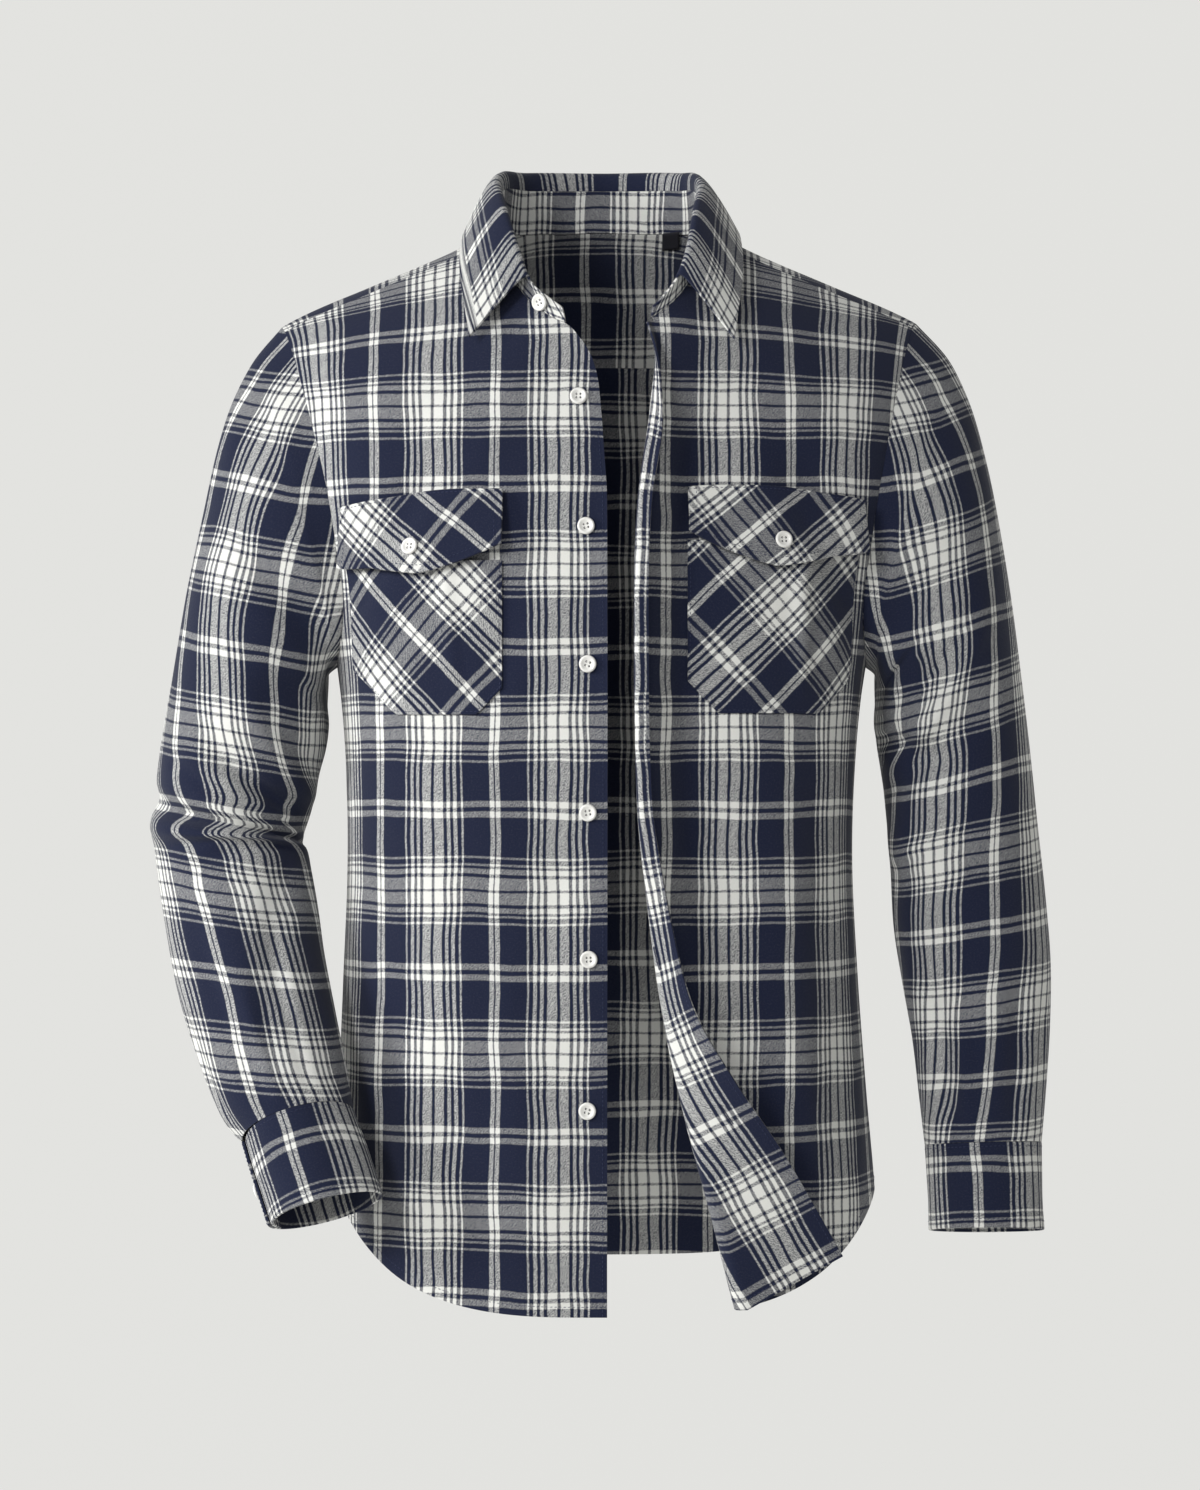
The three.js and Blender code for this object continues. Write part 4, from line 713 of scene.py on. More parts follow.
# Where the check lies on each piece, in cloth mm across and down
RIGHT_PHASE = (-72.8, 60.0)
LEFT_PHASE = (43.0, 60.0)
BACK_PHASE = (77.0, 60.0)
YOKE_PHASE = (-12.0, 20.0)
FACING_START, FACING_SLIP = 75.0, 9
PLACKET_PHASE = (8.0, 30.0)
STAND_PHASE, STAND_DOUBLE_X = (0.0, -37.0), -17
LEAF_PHASE, LEAF_DOUBLE_X, LEAF_FIRST, LEAF_LAST = (0.0, -10.0), 14, 62, 58
SLEEVE_PHASE = {-1: 64.0, 1: 68.0}
CUFF_PHASE = {-1: (4.0, 23.0), 1: (-9.0, 15.0)}

# A sleeve's check by height: degrees of tilt, and mm from its outer edge to the first line
SLEEVE_TILT = [-700, -600, -455, -273, -161, -56], [0, 4, 10, 20, 27, 30]
SLEEVE_LINE = {
    -1: ([-600, -530, -481, -420, -376, -336, -256, -141], [51, 66, 63.5, 57, 48, 42, 31, 24]),
    1: ([-620, -523, -348, -260, -178, -94], [66, 72, 62, 58, 50, 40]),
}
TILT_SHARE = {-1: 0.7, 1: 1}
SLEEVE_STRETCH = {-1: 1.0, 1: 1.073}

# The stage: lights as name, place, size in metres and power in watts
LIGHTS = (
    ("key", (-2.0, -2.6, 1.0), 1.0, 56),
    ("side", (-3.2, -0.9, 0.4), 1.0, 68),
    ("fill", (-0.3, -3.7, 0.6), 1.2, 15),
)
LIT_POINT = (0, 0, -0.35)
WORLD_STRENGTH = 0.19
BACKDROP_GLOW = 0.97
CAMERA_PLACE = (-0.0014, -3.0, -0.3465)
CAMERA_LENS, CAMERA_SENSOR = 103.5, 36

# Grids of the cloth pieces, kept for the buttons and the stitches
KEEP = {}


def fine_creases(x, z, front):
    """Small soft creases of the body, on the front or the back."""
    return np.where(front, folds_at(FINE_FRONT, x, z), folds_at(FINE_BACK, x, z))


ARC_STEPS = np.hypot(np.diff(sideways(ANGLES)), 0.6 * np.diff(outward(ANGLES)))
ARC = np.concatenate([[0], np.cumsum(ARC_STEPS)])
FALLS = np.linspace(0, 1, 300)
RISE = np.hypot(np.diff(drop_at(FALLS)), 98 * np.diff(np.sin(np.pi / 2 * FALLS)))
SHOULDER_ARC = np.concatenate([np.cumsum(RISE[::-1])[::-1], [0]])


def body_cloth(points):
    """Cloth millimetres across and down at points of the body: across is the arc round the body from the
    middle, flattening to x on the shoulders; down follows the cloth over the shoulder's rounding."""
    x, y, z = points[..., 0], points[..., 1], points[..., 2]
    angle = angle_at(x, z)
    fall = fall_at(ridge_z(x) - z)
    round_it = np.sin(np.pi / 2 * np.clip(fall, 0, 1))
    arc = np.sign(x) * half_width(z, x) * np.interp(np.abs(angle), ANGLES, ARC)
    across = x + (arc - x) * round_it
    down = np.where(fall < 1, ROUND_DROP - ridge_z(x) - np.interp(fall, FALLS, SHOULDER_ARC), -z)
    return across, down


def run_lengths(points, axis):
    """Length along a grid's rows (axis 1) or columns (axis 0) up to each point."""
    steps = np.linalg.norm(np.diff(points, axis=axis), axis=-1)
    pad = [(1, 0), (0, 0)] if axis == 0 else [(0, 0), (1, 0)]
    return np.pad(np.cumsum(steps, axis=axis), pad)


def to_check(across, down, start=(0, 0)):
    """UV of cloth millimetres: one unit is one repeat, and whole numbers are the middles of the
    double lines."""
    return np.stack([(across - start[0]) / WARP_REPEAT, (down - start[1]) / WEFT_REPEAT], -1)


def hex_colour(text):
    """Linear colour of an sRGB hex code."""
    values = [int(text[k : k + 2], 16) / 255 for k in (1, 3, 5)]
    return [v / 12.92 if v <= 0.04045 else ((v + 0.055) / 1.055) ** 2.4 for v in values] + [1.0]


def add_node(tree, kind, links=None, **settings):
    """Adds a node, sets its properties and inputs, and links its inputs to other nodes' outputs."""
    node = tree.nodes.new(kind)
    for name, value in settings.items():
        if hasattr(node, name):
            setattr(node, name, value)
        else:
            node.inputs[name.replace("_", " ")].default_value = value
    for name, output in (links or {}).items():
        tree.links.new(output, node.inputs[name])
    return node


def maths(tree, operation, a, b=None, c=None):
    """A Math node: each of a, b and c is a number or another node's output."""
    node = tree.nodes.new("ShaderNodeMath")
    node.operation = operation
    for socket, value in zip(node.inputs, (a, b, c)):
        if value is None:
            continue
        if isinstance(value, (int, float)):
            socket.default_value = value
        else:
            tree.links.new(value, socket)
    return node.outputs[0]


def noise(tree, place, scale, detail, roughness):
    """A noise texture in cloth millimetres."""
    return add_node(
        tree,
        "ShaderNodeTexNoise",
        {"Vector": place},
        Scale=scale,
        Detail=detail,
        Roughness=roughness,
    )


def bars(tree, coordinate, edges):
    """White where a coordinate, mirrored every half repeat, lies inside one of the bars."""
    part = maths(tree, "FRACT", maths(tree, "ADD", coordinate, 0.5))
    half = maths(tree, "MULTIPLY", maths(tree, "ABSOLUTE", maths(tree, "SUBTRACT", part, 0.5)), 2.0)
    ramp = add_node(tree, "ShaderNodeValToRGB", {"Fac": half})
    stops = ramp.color_ramp
    stops.interpolation = "LINEAR"
    soft = 0.006
    places = [(0.0, 0)]
    for low, high in edges:
        places += [(low - soft, 0), (low + soft, 1), (high - soft, 1), (high + soft, 0)]
    stops.elements[0].position = 0.0
    stops.elements[0].color = (0, 0, 0, 1)
    stops.elements[1].position = 1.0
    stops.elements[1].color = (0, 0, 0, 1)
    for place, value in places[1:]:
        element = stops.elements.new(min(max(place, 0.0001), 0.9999))
        element.color = (value, value, value, 1)
    return ramp.outputs["Color"]


def new_material(name):
    material = bpy.data.materials.new(name)
    material.use_nodes = True
    return material, material.node_tree, material.node_tree.nodes["Principled BSDF"]


def set_shader(shader, **inputs):
    """Sets a shader's inputs, an underscore standing for each space in a name."""
    for name, value in inputs.items():
        shader.inputs[name.replace("_", " ")].default_value = value


def flannel(name, colours):
    """Brushed cotton flannel, yarn-dyed in a twill check. The warp shows more than the weft where only
    one of them is white, and the brushed flecks break up both."""
    material, tree, shader = new_material(name)
    uv = add_node(tree, "ShaderNodeUVMap", uv_map="cloth")
    parts = add_node(tree, "ShaderNodeSeparateXYZ", {"Vector": uv.outputs["UV"]})
    mm_u = maths(tree, "MULTIPLY", parts.outputs["X"], WARP_REPEAT)
    mm_v = maths(tree, "MULTIPLY", parts.outputs["Y"], WEFT_REPEAT)
    place = add_node(tree, "ShaderNodeCombineXYZ", {"X": mm_u, "Y": mm_v}).outputs[0]
    drift = noise(tree, place, 0.016, 2.0, 0.5)
    pulls = add_node(tree, "ShaderNodeSeparateColor", {"Color": drift.outputs["Color"]})
    fuzz = noise(tree, place, 0.9, 2.0, 0.6)
    fray = maths(tree, "MULTIPLY", maths(tree, "SUBTRACT", fuzz.outputs["Fac"], 0.5), 1.3)
    lines = []
    for mm, pull, repeat, edges in (
        (mm_u, pulls.outputs["Red"], WARP_REPEAT, WARP_BARS),
        (mm_v, pulls.outputs["Green"], WEFT_REPEAT, WEFT_BARS),
    ):
        wander = maths(tree, "MULTIPLY", maths(tree, "SUBTRACT", pull, 0.5), 6.0)
        shift = maths(tree, "ADD", wander, fray)
        lines.append(bars(tree, maths(tree, "DIVIDE", maths(tree, "ADD", mm, shift), repeat), edges))
    warp, weft = lines
    swirl = noise(tree, place, 0.42, 3.0, 0.6)
    diagonal = maths(tree, "MULTIPLY", maths(tree, "ADD", mm_u, mm_v), 2 * np.pi / 2.1)
    wave = maths(tree, "ADD", diagonal, maths(tree, "MULTIPLY", swirl.outputs["Fac"], 26.0))
    rib = maths(tree, "SINE", wave)
    warp_share = maths(tree, "MULTIPLY", warp, maths(tree, "MULTIPLY_ADD", rib, 0.25, 0.42))
    weft_share = maths(tree, "MULTIPLY", weft, maths(tree, "MULTIPLY_ADD", rib, -0.13, 0.23))
    both = maths(tree, "MULTIPLY", maths(tree, "MULTIPLY", warp, weft), 0.42)
    nap = noise(tree, place, 0.8, 4.0, 0.8)
    brushed = maths(tree, "MULTIPLY", maths(tree, "SUBTRACT", nap.outputs["Fac"], 0.5), 0.1)
    shares = maths(tree, "ADD", maths(tree, "ADD", warp_share, weft_share), both)
    amount = maths(tree, "ADD", shares, brushed)
    clamped = add_node(tree, "ShaderNodeClamp", {"Value": amount})
    tint = add_node(tree, "ShaderNodeMix", {"Factor": clamped.outputs[0]}, data_type="RGBA")
    tint.inputs[6].default_value = hex_colour(colours.navy)
    tint.inputs[7].default_value = hex_colour(colours.white)
    tree.links.new(tint.outputs[2], shader.inputs["Base Color"])
    ribbed = maths(tree, "MULTIPLY", rib, 0.12)
    height = maths(tree, "ADD", ribbed, maths(tree, "MULTIPLY", nap.outputs["Fac"], 0.9))
    bump = add_node(tree, "ShaderNodeBump", {"Height": height}, Strength=0.35, Distance=0.0006)
    tree.links.new(bump.outputs[0], shader.inputs["Normal"])
    set_shader(shader, Roughness=0.92, Specular_IOR_Level=0.15, Sheen_Weight=0.12, Sheen_Roughness=0.5)
    return material


def plain(name, colour, roughness, specular=0.4):
    """A plain material of one colour."""
    material, _, shader = new_material(name)
    set_shader(shader, Base_Color=hex_colour(colour), Roughness=roughness, Specular_IOR_Level=specular)
    return material


def grid_faces(rows, columns, start=0):
    """Corner numbers of a grid's quads."""
    j, i = np.meshgrid(np.arange(rows - 1), np.arange(columns - 1), indexing="ij")
    a = (start + j * columns + i).ravel()
    return np.stack([a, a + 1, a + columns + 1, a + columns], -1)


def make_mesh(name, points, faces, uv=None):
    """A smooth mesh object from arrays of points (mm), quads or triangles, and UVs of its points."""
    mesh = bpy.data.meshes.new(name)
    corners = faces.shape[1]
    mesh.vertices.add(len(points))
    mesh.vertices.foreach_set("co", (np.asarray(points, np.float32) * MM).ravel())
    mesh.loops.add(faces.size)
    mesh.loops.foreach_set("vertex_index", faces.ravel().astype(np.int32))
    mesh.polygons.add(len(faces))
    mesh.polygons.foreach_set("loop_start", np.arange(0, faces.size, corners, dtype=np.int32))
    mesh.polygons.foreach_set("use_smooth", np.ones(len(faces), bool))
    if uv is not None:
        layer = mesh.uv_layers.new(name="cloth")
        layer.data.foreach_set("uv", np.asarray(uv, np.float32)[faces.ravel()].ravel())
    mesh.update()
    mesh.validate()
    piece = bpy.data.objects.new(name, mesh)
    bpy.context.scene.collection.objects.link(piece)
    return piece


def cloth(name, patches, wall, flip=False):
    """A cloth piece from one or more patches of (points, uv), thickened inwards, with rounded edges."""
    points, uvs, faces, start = [], [], [], 0
    for grid, uv in patches:
        rows, columns = grid.shape[:2]
        quads = grid_faces(rows, columns, start)
        faces.append(quads[:, ::-1] if flip else quads)
        points.append(grid.reshape(-1, 3))
        uvs.append(uv.reshape(-1, 2))
        start += rows * columns
    piece = make_mesh(name, np.concatenate(points), np.concatenate(faces), np.concatenate(uvs))
    piece.data.materials.append(bpy.data.materials["checked flannel"])
    if len(patches) > 1:
        weld = piece.modifiers.new("weld", "WELD")
        weld.merge_threshold = 0.02 * MM
    solid = piece.modifiers.new("wall", "SOLIDIFY")
    solid.thickness = wall * MM
    solid.offset = -1
    edge = piece.modifiers.new("edge", "BEVEL")
    edge.width = wall * 0.35 * MM
    edge.segments = 2
    edge.limit_method = "ANGLE"
    edge.angle_limit = np.radians(60)
    edge.harden_normals = True
    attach(piece, "root")
    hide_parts(name)
    return piece


def stitches(name, paths, pitch=3.0, length=2.1, radius=0.22):
    """Sewing thread: along each path (points, outward normals) a row of short six-sided capsules that
    rise out of the cloth in the middle and sink into it at both ends."""
    rings = np.linspace(-1, 1, 5)
    turns = np.arange(6) * np.pi / 3
    middle, along_all, normal_all = [], [], []
    for points, normals in paths:
        run = np.concatenate([[0], np.cumsum(np.linalg.norm(np.diff(points, axis=0), axis=1))])
        count = max(1, int(run[-1] / pitch))
        at = (np.arange(count) + 0.5) * run[-1] / count
        place = np.stack([np.interp(at, run, points[:, c]) for c in range(3)], -1)
        ahead = np.stack([np.interp(at + 0.5, run, points[:, c]) for c in range(3)], -1)
        behind = np.stack([np.interp(at - 0.5, run, points[:, c]) for c in range(3)], -1)
        normal = np.stack([np.interp(at, run, normals[:, c]) for c in range(3)], -1)
        middle.append(place)
        along_all.append(ahead - behind)
        normal_all.append(normal)
    middle = np.concatenate(middle)
    along = np.concatenate(along_all)
    normal = np.concatenate(normal_all)
    along /= np.linalg.norm(along, axis=1)[:, None]
    normal /= np.linalg.norm(normal, axis=1)[:, None]
    side = np.cross(along, normal)
    size = radius * np.sqrt(np.clip(1 - rings**2, 0.04, 1))
    rise = radius * (0.9 - 1.6 * rings**2)
    points = (
        middle[:, None, None]
        + along[:, None, None] * (rings * length / 2)[None, :, None, None]
        + normal[:, None, None] * (rise[:, None] + size[:, None] * np.sin(turns))[None, :, :, None]
        + side[:, None, None] * (size[:, None] * np.cos(turns))[None, :, :, None]
    )
    count = len(middle)
    ring, turn = np.meshgrid(np.arange(4), np.arange(6), indexing="ij")
    ahead = (turn + 1) % 6
    quad = np.stack([ring * 6 + turn, ring * 6 + ahead, ring * 6 + 6 + ahead, ring * 6 + 6 + turn], -1)
    quad = quad.reshape(-1, 4)
    faces = (quad[None] + (np.arange(count) * 30)[:, None, None]).reshape(-1, 4)
    piece = make_mesh(name, points.reshape(-1, 3), faces)
    piece.data.materials.append(bpy.data.materials["sewing thread"])
    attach(piece, "root")
    return piece


def normals_of(grid, flip=False):
    """Normals at a grid's points from their neighbours."""
    across = np.gradient(grid, axis=1)
    up = np.gradient(grid, axis=0)
    normal = np.cross(across, up) * (-1 if flip else 1)
    return normal / np.maximum(np.linalg.norm(normal, axis=-1), 1e-9)[..., None]


def inset_path(grid, flip, edge, distance, first=0.0, last=1.0):
    """A path at a distance inside one edge of a grid ("start", "end", "bottom" or "top"), with its
    normals."""
    normal = normals_of(grid, flip)
    if edge in ("bottom", "top"):
        grid = grid.transpose(1, 0, 2)
        normal = normal.transpose(1, 0, 2)
    if edge in ("end", "top"):
        grid, normal = grid[:, ::-1], normal[:, ::-1]
    run = run_lengths(grid, 1)
    rows = np.arange(int(first * (len(grid) - 1)), int(round(last * (len(grid) - 1))) + 1)
    return [
        np.array([[np.interp(distance, run[j], data[j][:, c]) for c in range(3)] for j in rows])
        for data in (grid, normal)
    ]


def build_fronts(sizes):
    """Both fronts, and the facing on the turned-back edge."""
    step = sizes.mesh_mm
    rows = np.concatenate([np.linspace(0, 1, int(440 / step)), np.linspace(1, 2, int(330 / step))[1:]])
    across = np.linspace(0, 1, int(215 / step))
    right = front_grid(-1, button_edge, across, rows, fine_creases)
    left = front_grid(1, fold_edge, across, rows, fine_creases)
    KEEP["right_front"] = right
    KEEP["left_front"] = left
    cloth("right_front", [(right, front_uv(right, -1))], sizes.cloth_mm, flip=True)
    part = rows <= 1.6
    shares = np.linspace(1, 0, 26)
    flap = turned_back(left[part, 0].copy(), left[part, 3].copy(), shares)
    flap[:, -1] = left[part, 0]
    across_mm, down_mm = body_cloth(left[part, 0])
    width = track(TURN_Z, TURN_WIDTH, left[part, 0, 2])[:, None] * shares[None, :]
    flap_uv = to_check(across_mm[:, None] - width, down_mm[:, None] + 0 * width, LEFT_PHASE)
    cloth("left_front", [(flap, flap_uv), (left, front_uv(left, 1))], sizes.cloth_mm)
    turned = flap[:, :-1] - normals_of(flap)[:, :-1] * (sizes.cloth_mm + 0.4)
    from_edge = track(TURN_Z, TURN_WIDTH, left[part, 0, 2])[:, None] * (1 - shares[None, :-1])
    slip = FACING_SLIP * (1 - smooth(-left[part, 0, 2], 430, 600))[:, None]
    facing_uv = to_check(from_edge + slip, down_mm[:, None] + 0 * from_edge, (FACING_START, LEFT_PHASE[1]))
    KEEP["facing"] = turned
    cloth("left_front_facing", [(turned, facing_uv)], 1.0, flip=True)


def front_uv(grid, side):
    """UV of a front."""
    across, down = body_cloth(grid)
    return to_check(across, down, RIGHT_PHASE if side < 0 else LEFT_PHASE)


def build_back(sizes):
    """The back and the yoke."""
    step = sizes.mesh_mm
    rows = np.concatenate([np.linspace(0, 1, int(430 / step)), np.linspace(1, 2, int(230 / step))[1:]])
    back = back_grid(np.linspace(0, 1, int(440 / step)), rows, fine_creases)
    across, down = body_cloth(back)
    KEEP["back"] = back
    cloth("back", [(back, to_check(across, down, BACK_PHASE))], sizes.cloth_mm)
    around = np.linspace(0, 1, int(600 / step / 15) * 15 * 2 + 1)
    yoke = yoke_grid(around, np.linspace(0, 1, int(170 / step)), None)
    across, down = body_cloth(yoke)
    KEEP["yoke"] = yoke
    cloth("yoke", [(yoke, to_check(across, down, YOKE_PHASE))], sizes.cloth_mm)


def sleeve_cloth(sleeve, angles, side):
    """Cloth position on a sleeve: around it from the double line nearest its outer edge, and down it."""
    x, z = sleeve[..., 0], sleeve[..., 2]
    outer = np.argmin(np.abs(angles))
    flat = sleeve * np.array([1, 1, 0])
    around = run_lengths(flat, 1)
    around = (around - around[:, outer : outer + 1]) * side
    edge_x, edge_z = x[:, outer] * side, z[:, outer]
    reach = np.interp(-z, -edge_z, edge_x) - edge_x[:, None]
    across = np.abs(around) + reach
    across = np.where(around >= 0, across, -across) + side * track(*SLEEVE_LINE[side], z)
    tilt = np.radians(track(*SLEEVE_TILT, z)) * TILT_SHARE[side]
    centre = x.mean(axis=1)[:, None]
    down = -(z - side * (x - centre) * np.tan(tilt))
    return across, down * SLEEVE_STRETCH[side]


def build_sleeves(sizes):
    """Both sleeves and their cuffs."""
    step = sizes.mesh_mm
    for side, word, arm, cuff, creases, edge in (
        (-1, "right", RIGHT_ARM, RIGHT_CUFF, RIGHT_CREASES, 7.8),
        (1, "left", LEFT_ARM, LEFT_CUFF, LEFT_CREASES, -70.0),
    ):
        rows = np.linspace(0, 1, int(580 / step))
        angles = np.linspace(180, -180, int(380 / step))
        sleeve = sleeve_grid(side, arm, creases, rows, angles)
        uv = to_check(*sleeve_cloth(sleeve, angles, side), (0, SLEEVE_PHASE[side]))
        KEEP["sleeve_" + word] = sleeve
        piece = cloth("sleeve_" + word, [(sleeve, uv)], sizes.cloth_mm, flip=side > 0)
        if side < 0:
            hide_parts("sleeve_right_forearm")
        laps = np.linspace(0, 1 + 2 / 23, int(300 / step))
        ring = cuff_grid(side, cuff, arm, edge, np.linspace(0, 1, int(64 / step) + 2), laps)
        along = run_lengths(ring, 1)
        along = along - along[:, ring[0, :, 1].argmin()][:, None]
        uv = to_check(along, run_lengths(ring, 0), CUFF_PHASE[side])
        KEEP["cuff_" + word] = ring
        cloth("cuff_" + word, [(ring, uv)], sizes.double_mm, flip=side > 0)


def build_collar(sizes):
    """Stand and leaf."""
    step = sizes.mesh_mm
    turns = np.linspace(-NECK_END[-1], NECK_END[1], int(480 / step))
    base, top, _, _ = collar_curves(turns)
    share = np.linspace(0, 1, int(30 / step) + 2)[:, None, None]
    stand = base[None] * (1 - share) + top[None] * share
    KEEP["stand"] = stand
    along = run_lengths(stand, 1)
    behind = np.where(stand[0, :, 1] > 0, np.abs(stand[0, :, 0] - STAND_DOUBLE_X), 1e3).argmin()
    uv = to_check(along - along[:, behind][:, None], run_lengths(stand, 0), STAND_PHASE)
    cloth("collar_stand", [(stand, uv)], sizes.double_mm, flip=True)
    turns = np.linspace(-144.6, 139.0, int(480 / step))
    leaf = leaf_grid(turns, np.linspace(0, 1, int(70 / step)))
    KEEP["leaf"] = leaf
    along = run_lengths(leaf, 1)
    behind = np.where(leaf[0, :, 1] > 0, np.abs(leaf[0, :, 0] - LEAF_DOUBLE_X), 1e3).argmin()
    middle = along[:, behind][:, None]
    before = middle - LEAF_FIRST
    after = along[:, -1:] - LEAF_LAST - middle
    first = np.round(before / WARP_REPEAT) * WARP_REPEAT / before
    last = np.round(after / WARP_REPEAT) * WARP_REPEAT / after
    across = (along - middle) * np.where(along < middle, first, last)
    uv = to_check(across, run_lengths(leaf, 0), LEAF_PHASE)
    cloth("collar_leaf", [(leaf, uv)], sizes.double_mm, flip=True)


def on_body(x, z, side, lift=0.0):
    """Points of the body's front (side 1) or back (side -1) at x and z, lifted outwards."""
    x, z = np.broadcast_arrays(np.asarray(x, float), np.asarray(z, float))
    angle = angle_at(x, z)
    fall = side * fall_at(ridge_z(x) - z)
    return body(angle, fall, fine_creases) + normal_at(angle, fall) * np.asarray(lift)[..., None]


def pocket_grid(side, step):
    """Pocket: straight sides that lean a little, cut lower corners, a soft middle that stands off, and
    a crease down it that is higher on the left pocket."""
    x1, x2, lean, top, bottom, cut1, cut2 = POCKET[side]
    across = np.linspace(0, 1, int((x2 - x1) / step))
    s, t = np.meshgrid(across, np.linspace(0, 1, int((top - bottom) / step)))
    x = x1 + (x2 - x1) * s + np.where(lean > 0, 1 - s, s) * lean * (1 - 2 * t)
    corner = np.maximum(0, np.maximum(cut1 - s * (x2 - x1), cut2 - (1 - s) * (x2 - x1)))
    z = (bottom + corner) * (1 - t) + top * t
    soft = np.clip(4 * s * (1 - s), 0, 1) ** 0.6 * np.clip(3 * t, 0, 1)
    ripple = 0.5 * np.sin(7 * s + 3 * t * side) * np.sin(5 * t + 2 * s)
    crease = 4.5 * np.exp(-(((s - 0.7 + 0.06 * t) / 0.05) ** 2)) * np.clip(5 * t * (1.2 - t), 0, 1)
    return on_body(x, z, 1, 1.7 + soft * (1.6 + ripple + np.where(side > 0, crease, 0.4 * crease)))


def pocket_flap_grid(side, step):
    """Pocket flap: a curved top, short straight ends and a shallow point that lifts off the pocket."""
    x1, x2, top1, top2, end1, end2, tip = POCKET_FLAP[side]
    s, t = np.meshgrid(np.linspace(0, 1, int((x2 - x1) / step)), np.linspace(0, 1, int(52 / step)))
    top = top1 + (top2 - top1) * s + 14 * s * (1 - s)
    rise = np.abs(2 * s - 1) ** 1.3
    bottom = tip * (1 - rise) + np.where(s < 0.5, end1, end2) * rise
    ripple = 0.7 * np.sin(8 * s + side) * (1 - t)
    lift = FLAP_OFF + FLAP_LIFT * (1 - t) ** FLAP_LIFT_POWER + ripple
    return on_body(x1 + (x2 - x1) * s, bottom + (top - bottom) * t, 1, lift)


def bias_uv(grid, origin, turn):
    """UV of a piece cut on the bias: a white block's middle lies at the origin (x, z), and the warp runs
    at a turn in degrees, down from the wearer's right."""
    across, down = body_cloth(grid)
    start = body_cloth(on_body(np.array([origin[0]]), np.array([origin[1]]), 1))
    a, d = across - start[0], down - start[1]
    sin, cos = np.sin(np.radians(turn)), np.cos(np.radians(turn))
    return to_check(a * sin - d * cos, a * cos + d * sin, (WARP_REPEAT / 2, WEFT_REPEAT / 2))


def build_pockets():
    """Pockets and flaps."""
    for side, word in ((-1, "right"), (1, "left")):
        for name, grid, (origin, turn), wall in (
            ("pocket_" + word, pocket_grid(side, 3.0), POCKET_BIAS[side], POCKET_MM),
            ("pocket_flap_" + word, pocket_flap_grid(side, 2.5), FLAP_BIAS[side], FLAP_MM),
        ):
            KEEP[name] = grid
            cloth(name, [(grid, bias_uv(grid, origin, turn))], wall)


def nearest(grid, flip, x, z):
    """The point of a grid nearest to x and z in the front view, and its normal."""
    away = np.hypot(grid[..., 0] - x, grid[..., 2] - z)
    j, i = np.unravel_index(np.argmin(away), away.shape)
    return grid[j, i], normals_of(grid, flip)[j, i]


def lathe(profile, sides):
    """Points and quads of a turned shape: profile rows are (radius, height) from the middle out."""
    turn = np.linspace(0, 2 * np.pi, sides, endpoint=False)
    r, h = np.array(profile).T
    points = np.stack([r[:, None] * np.cos(turn), r[:, None] * np.sin(turn), h[:, None] + 0 * turn], -1)
    j, i = np.meshgrid(np.arange(len(r) - 1), np.arange(sides), indexing="ij")
    ahead = (i + 1) % sides
    low, high = j * sides, (j + 1) * sides
    quads = np.stack([low + i, low + ahead, high + ahead, high + i], -1)
    return points.reshape(-1, 3), quads.reshape(-1, 4)


def build_button(name, place, normal, turn=0.0):
    """A four-hole button with a raised rim, its holes as dark discs of painted shade and two bars of
    thread.
    """
    shapes = [lathe(BUTTON_PROFILE, 40)]
    kinds = [0]
    for x in (-HOLE_PLACE, HOLE_PLACE):
        for y in (-HOLE_PLACE, HOLE_PLACE):
            # each hole is a dark disc of painted shade on the button's face
            hole, faces = lathe(HOLE_PROFILE, 12)
            shapes.append((hole + [x, y, 0], faces))
            kinds.append(1)
    for y in (-HOLE_PLACE, HOLE_PLACE):
        bar, faces = lathe(THREAD_PROFILE, 8)
        shapes.append((np.stack([bar[:, 2], bar[:, 0] + y, bar[:, 1] + THREAD_HEIGHT], -1), faces))
        kinds.append(2)
    points, faces, materials, start = [], [], [], 0
    for (shape, quads), kind in zip(shapes, kinds):
        points.append(shape)
        faces.append(quads + start)
        materials += [kind] * len(quads)
        start += len(shape)
    points = np.concatenate(points)
    up = normal / np.linalg.norm(normal)
    right = np.cross([0, 0, 1.0], up)
    right /= np.linalg.norm(right)
    above = np.cross(up, right)
    c, s = np.cos(turn), np.sin(turn)
    x, y, z = points.T[..., None]
    turned = place + (x * c - y * s) * right + (x * s + y * c) * above + z * up
    piece = make_mesh(name, turned, np.concatenate(faces))
    for material in ("polyester button", "button hole painted shade", "white thread"):
        piece.data.materials.append(bpy.data.materials[material])
    piece.data.polygons.foreach_set("material_index", np.array(materials, np.int32))
    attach(piece, "root")
    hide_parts(name)
    return piece


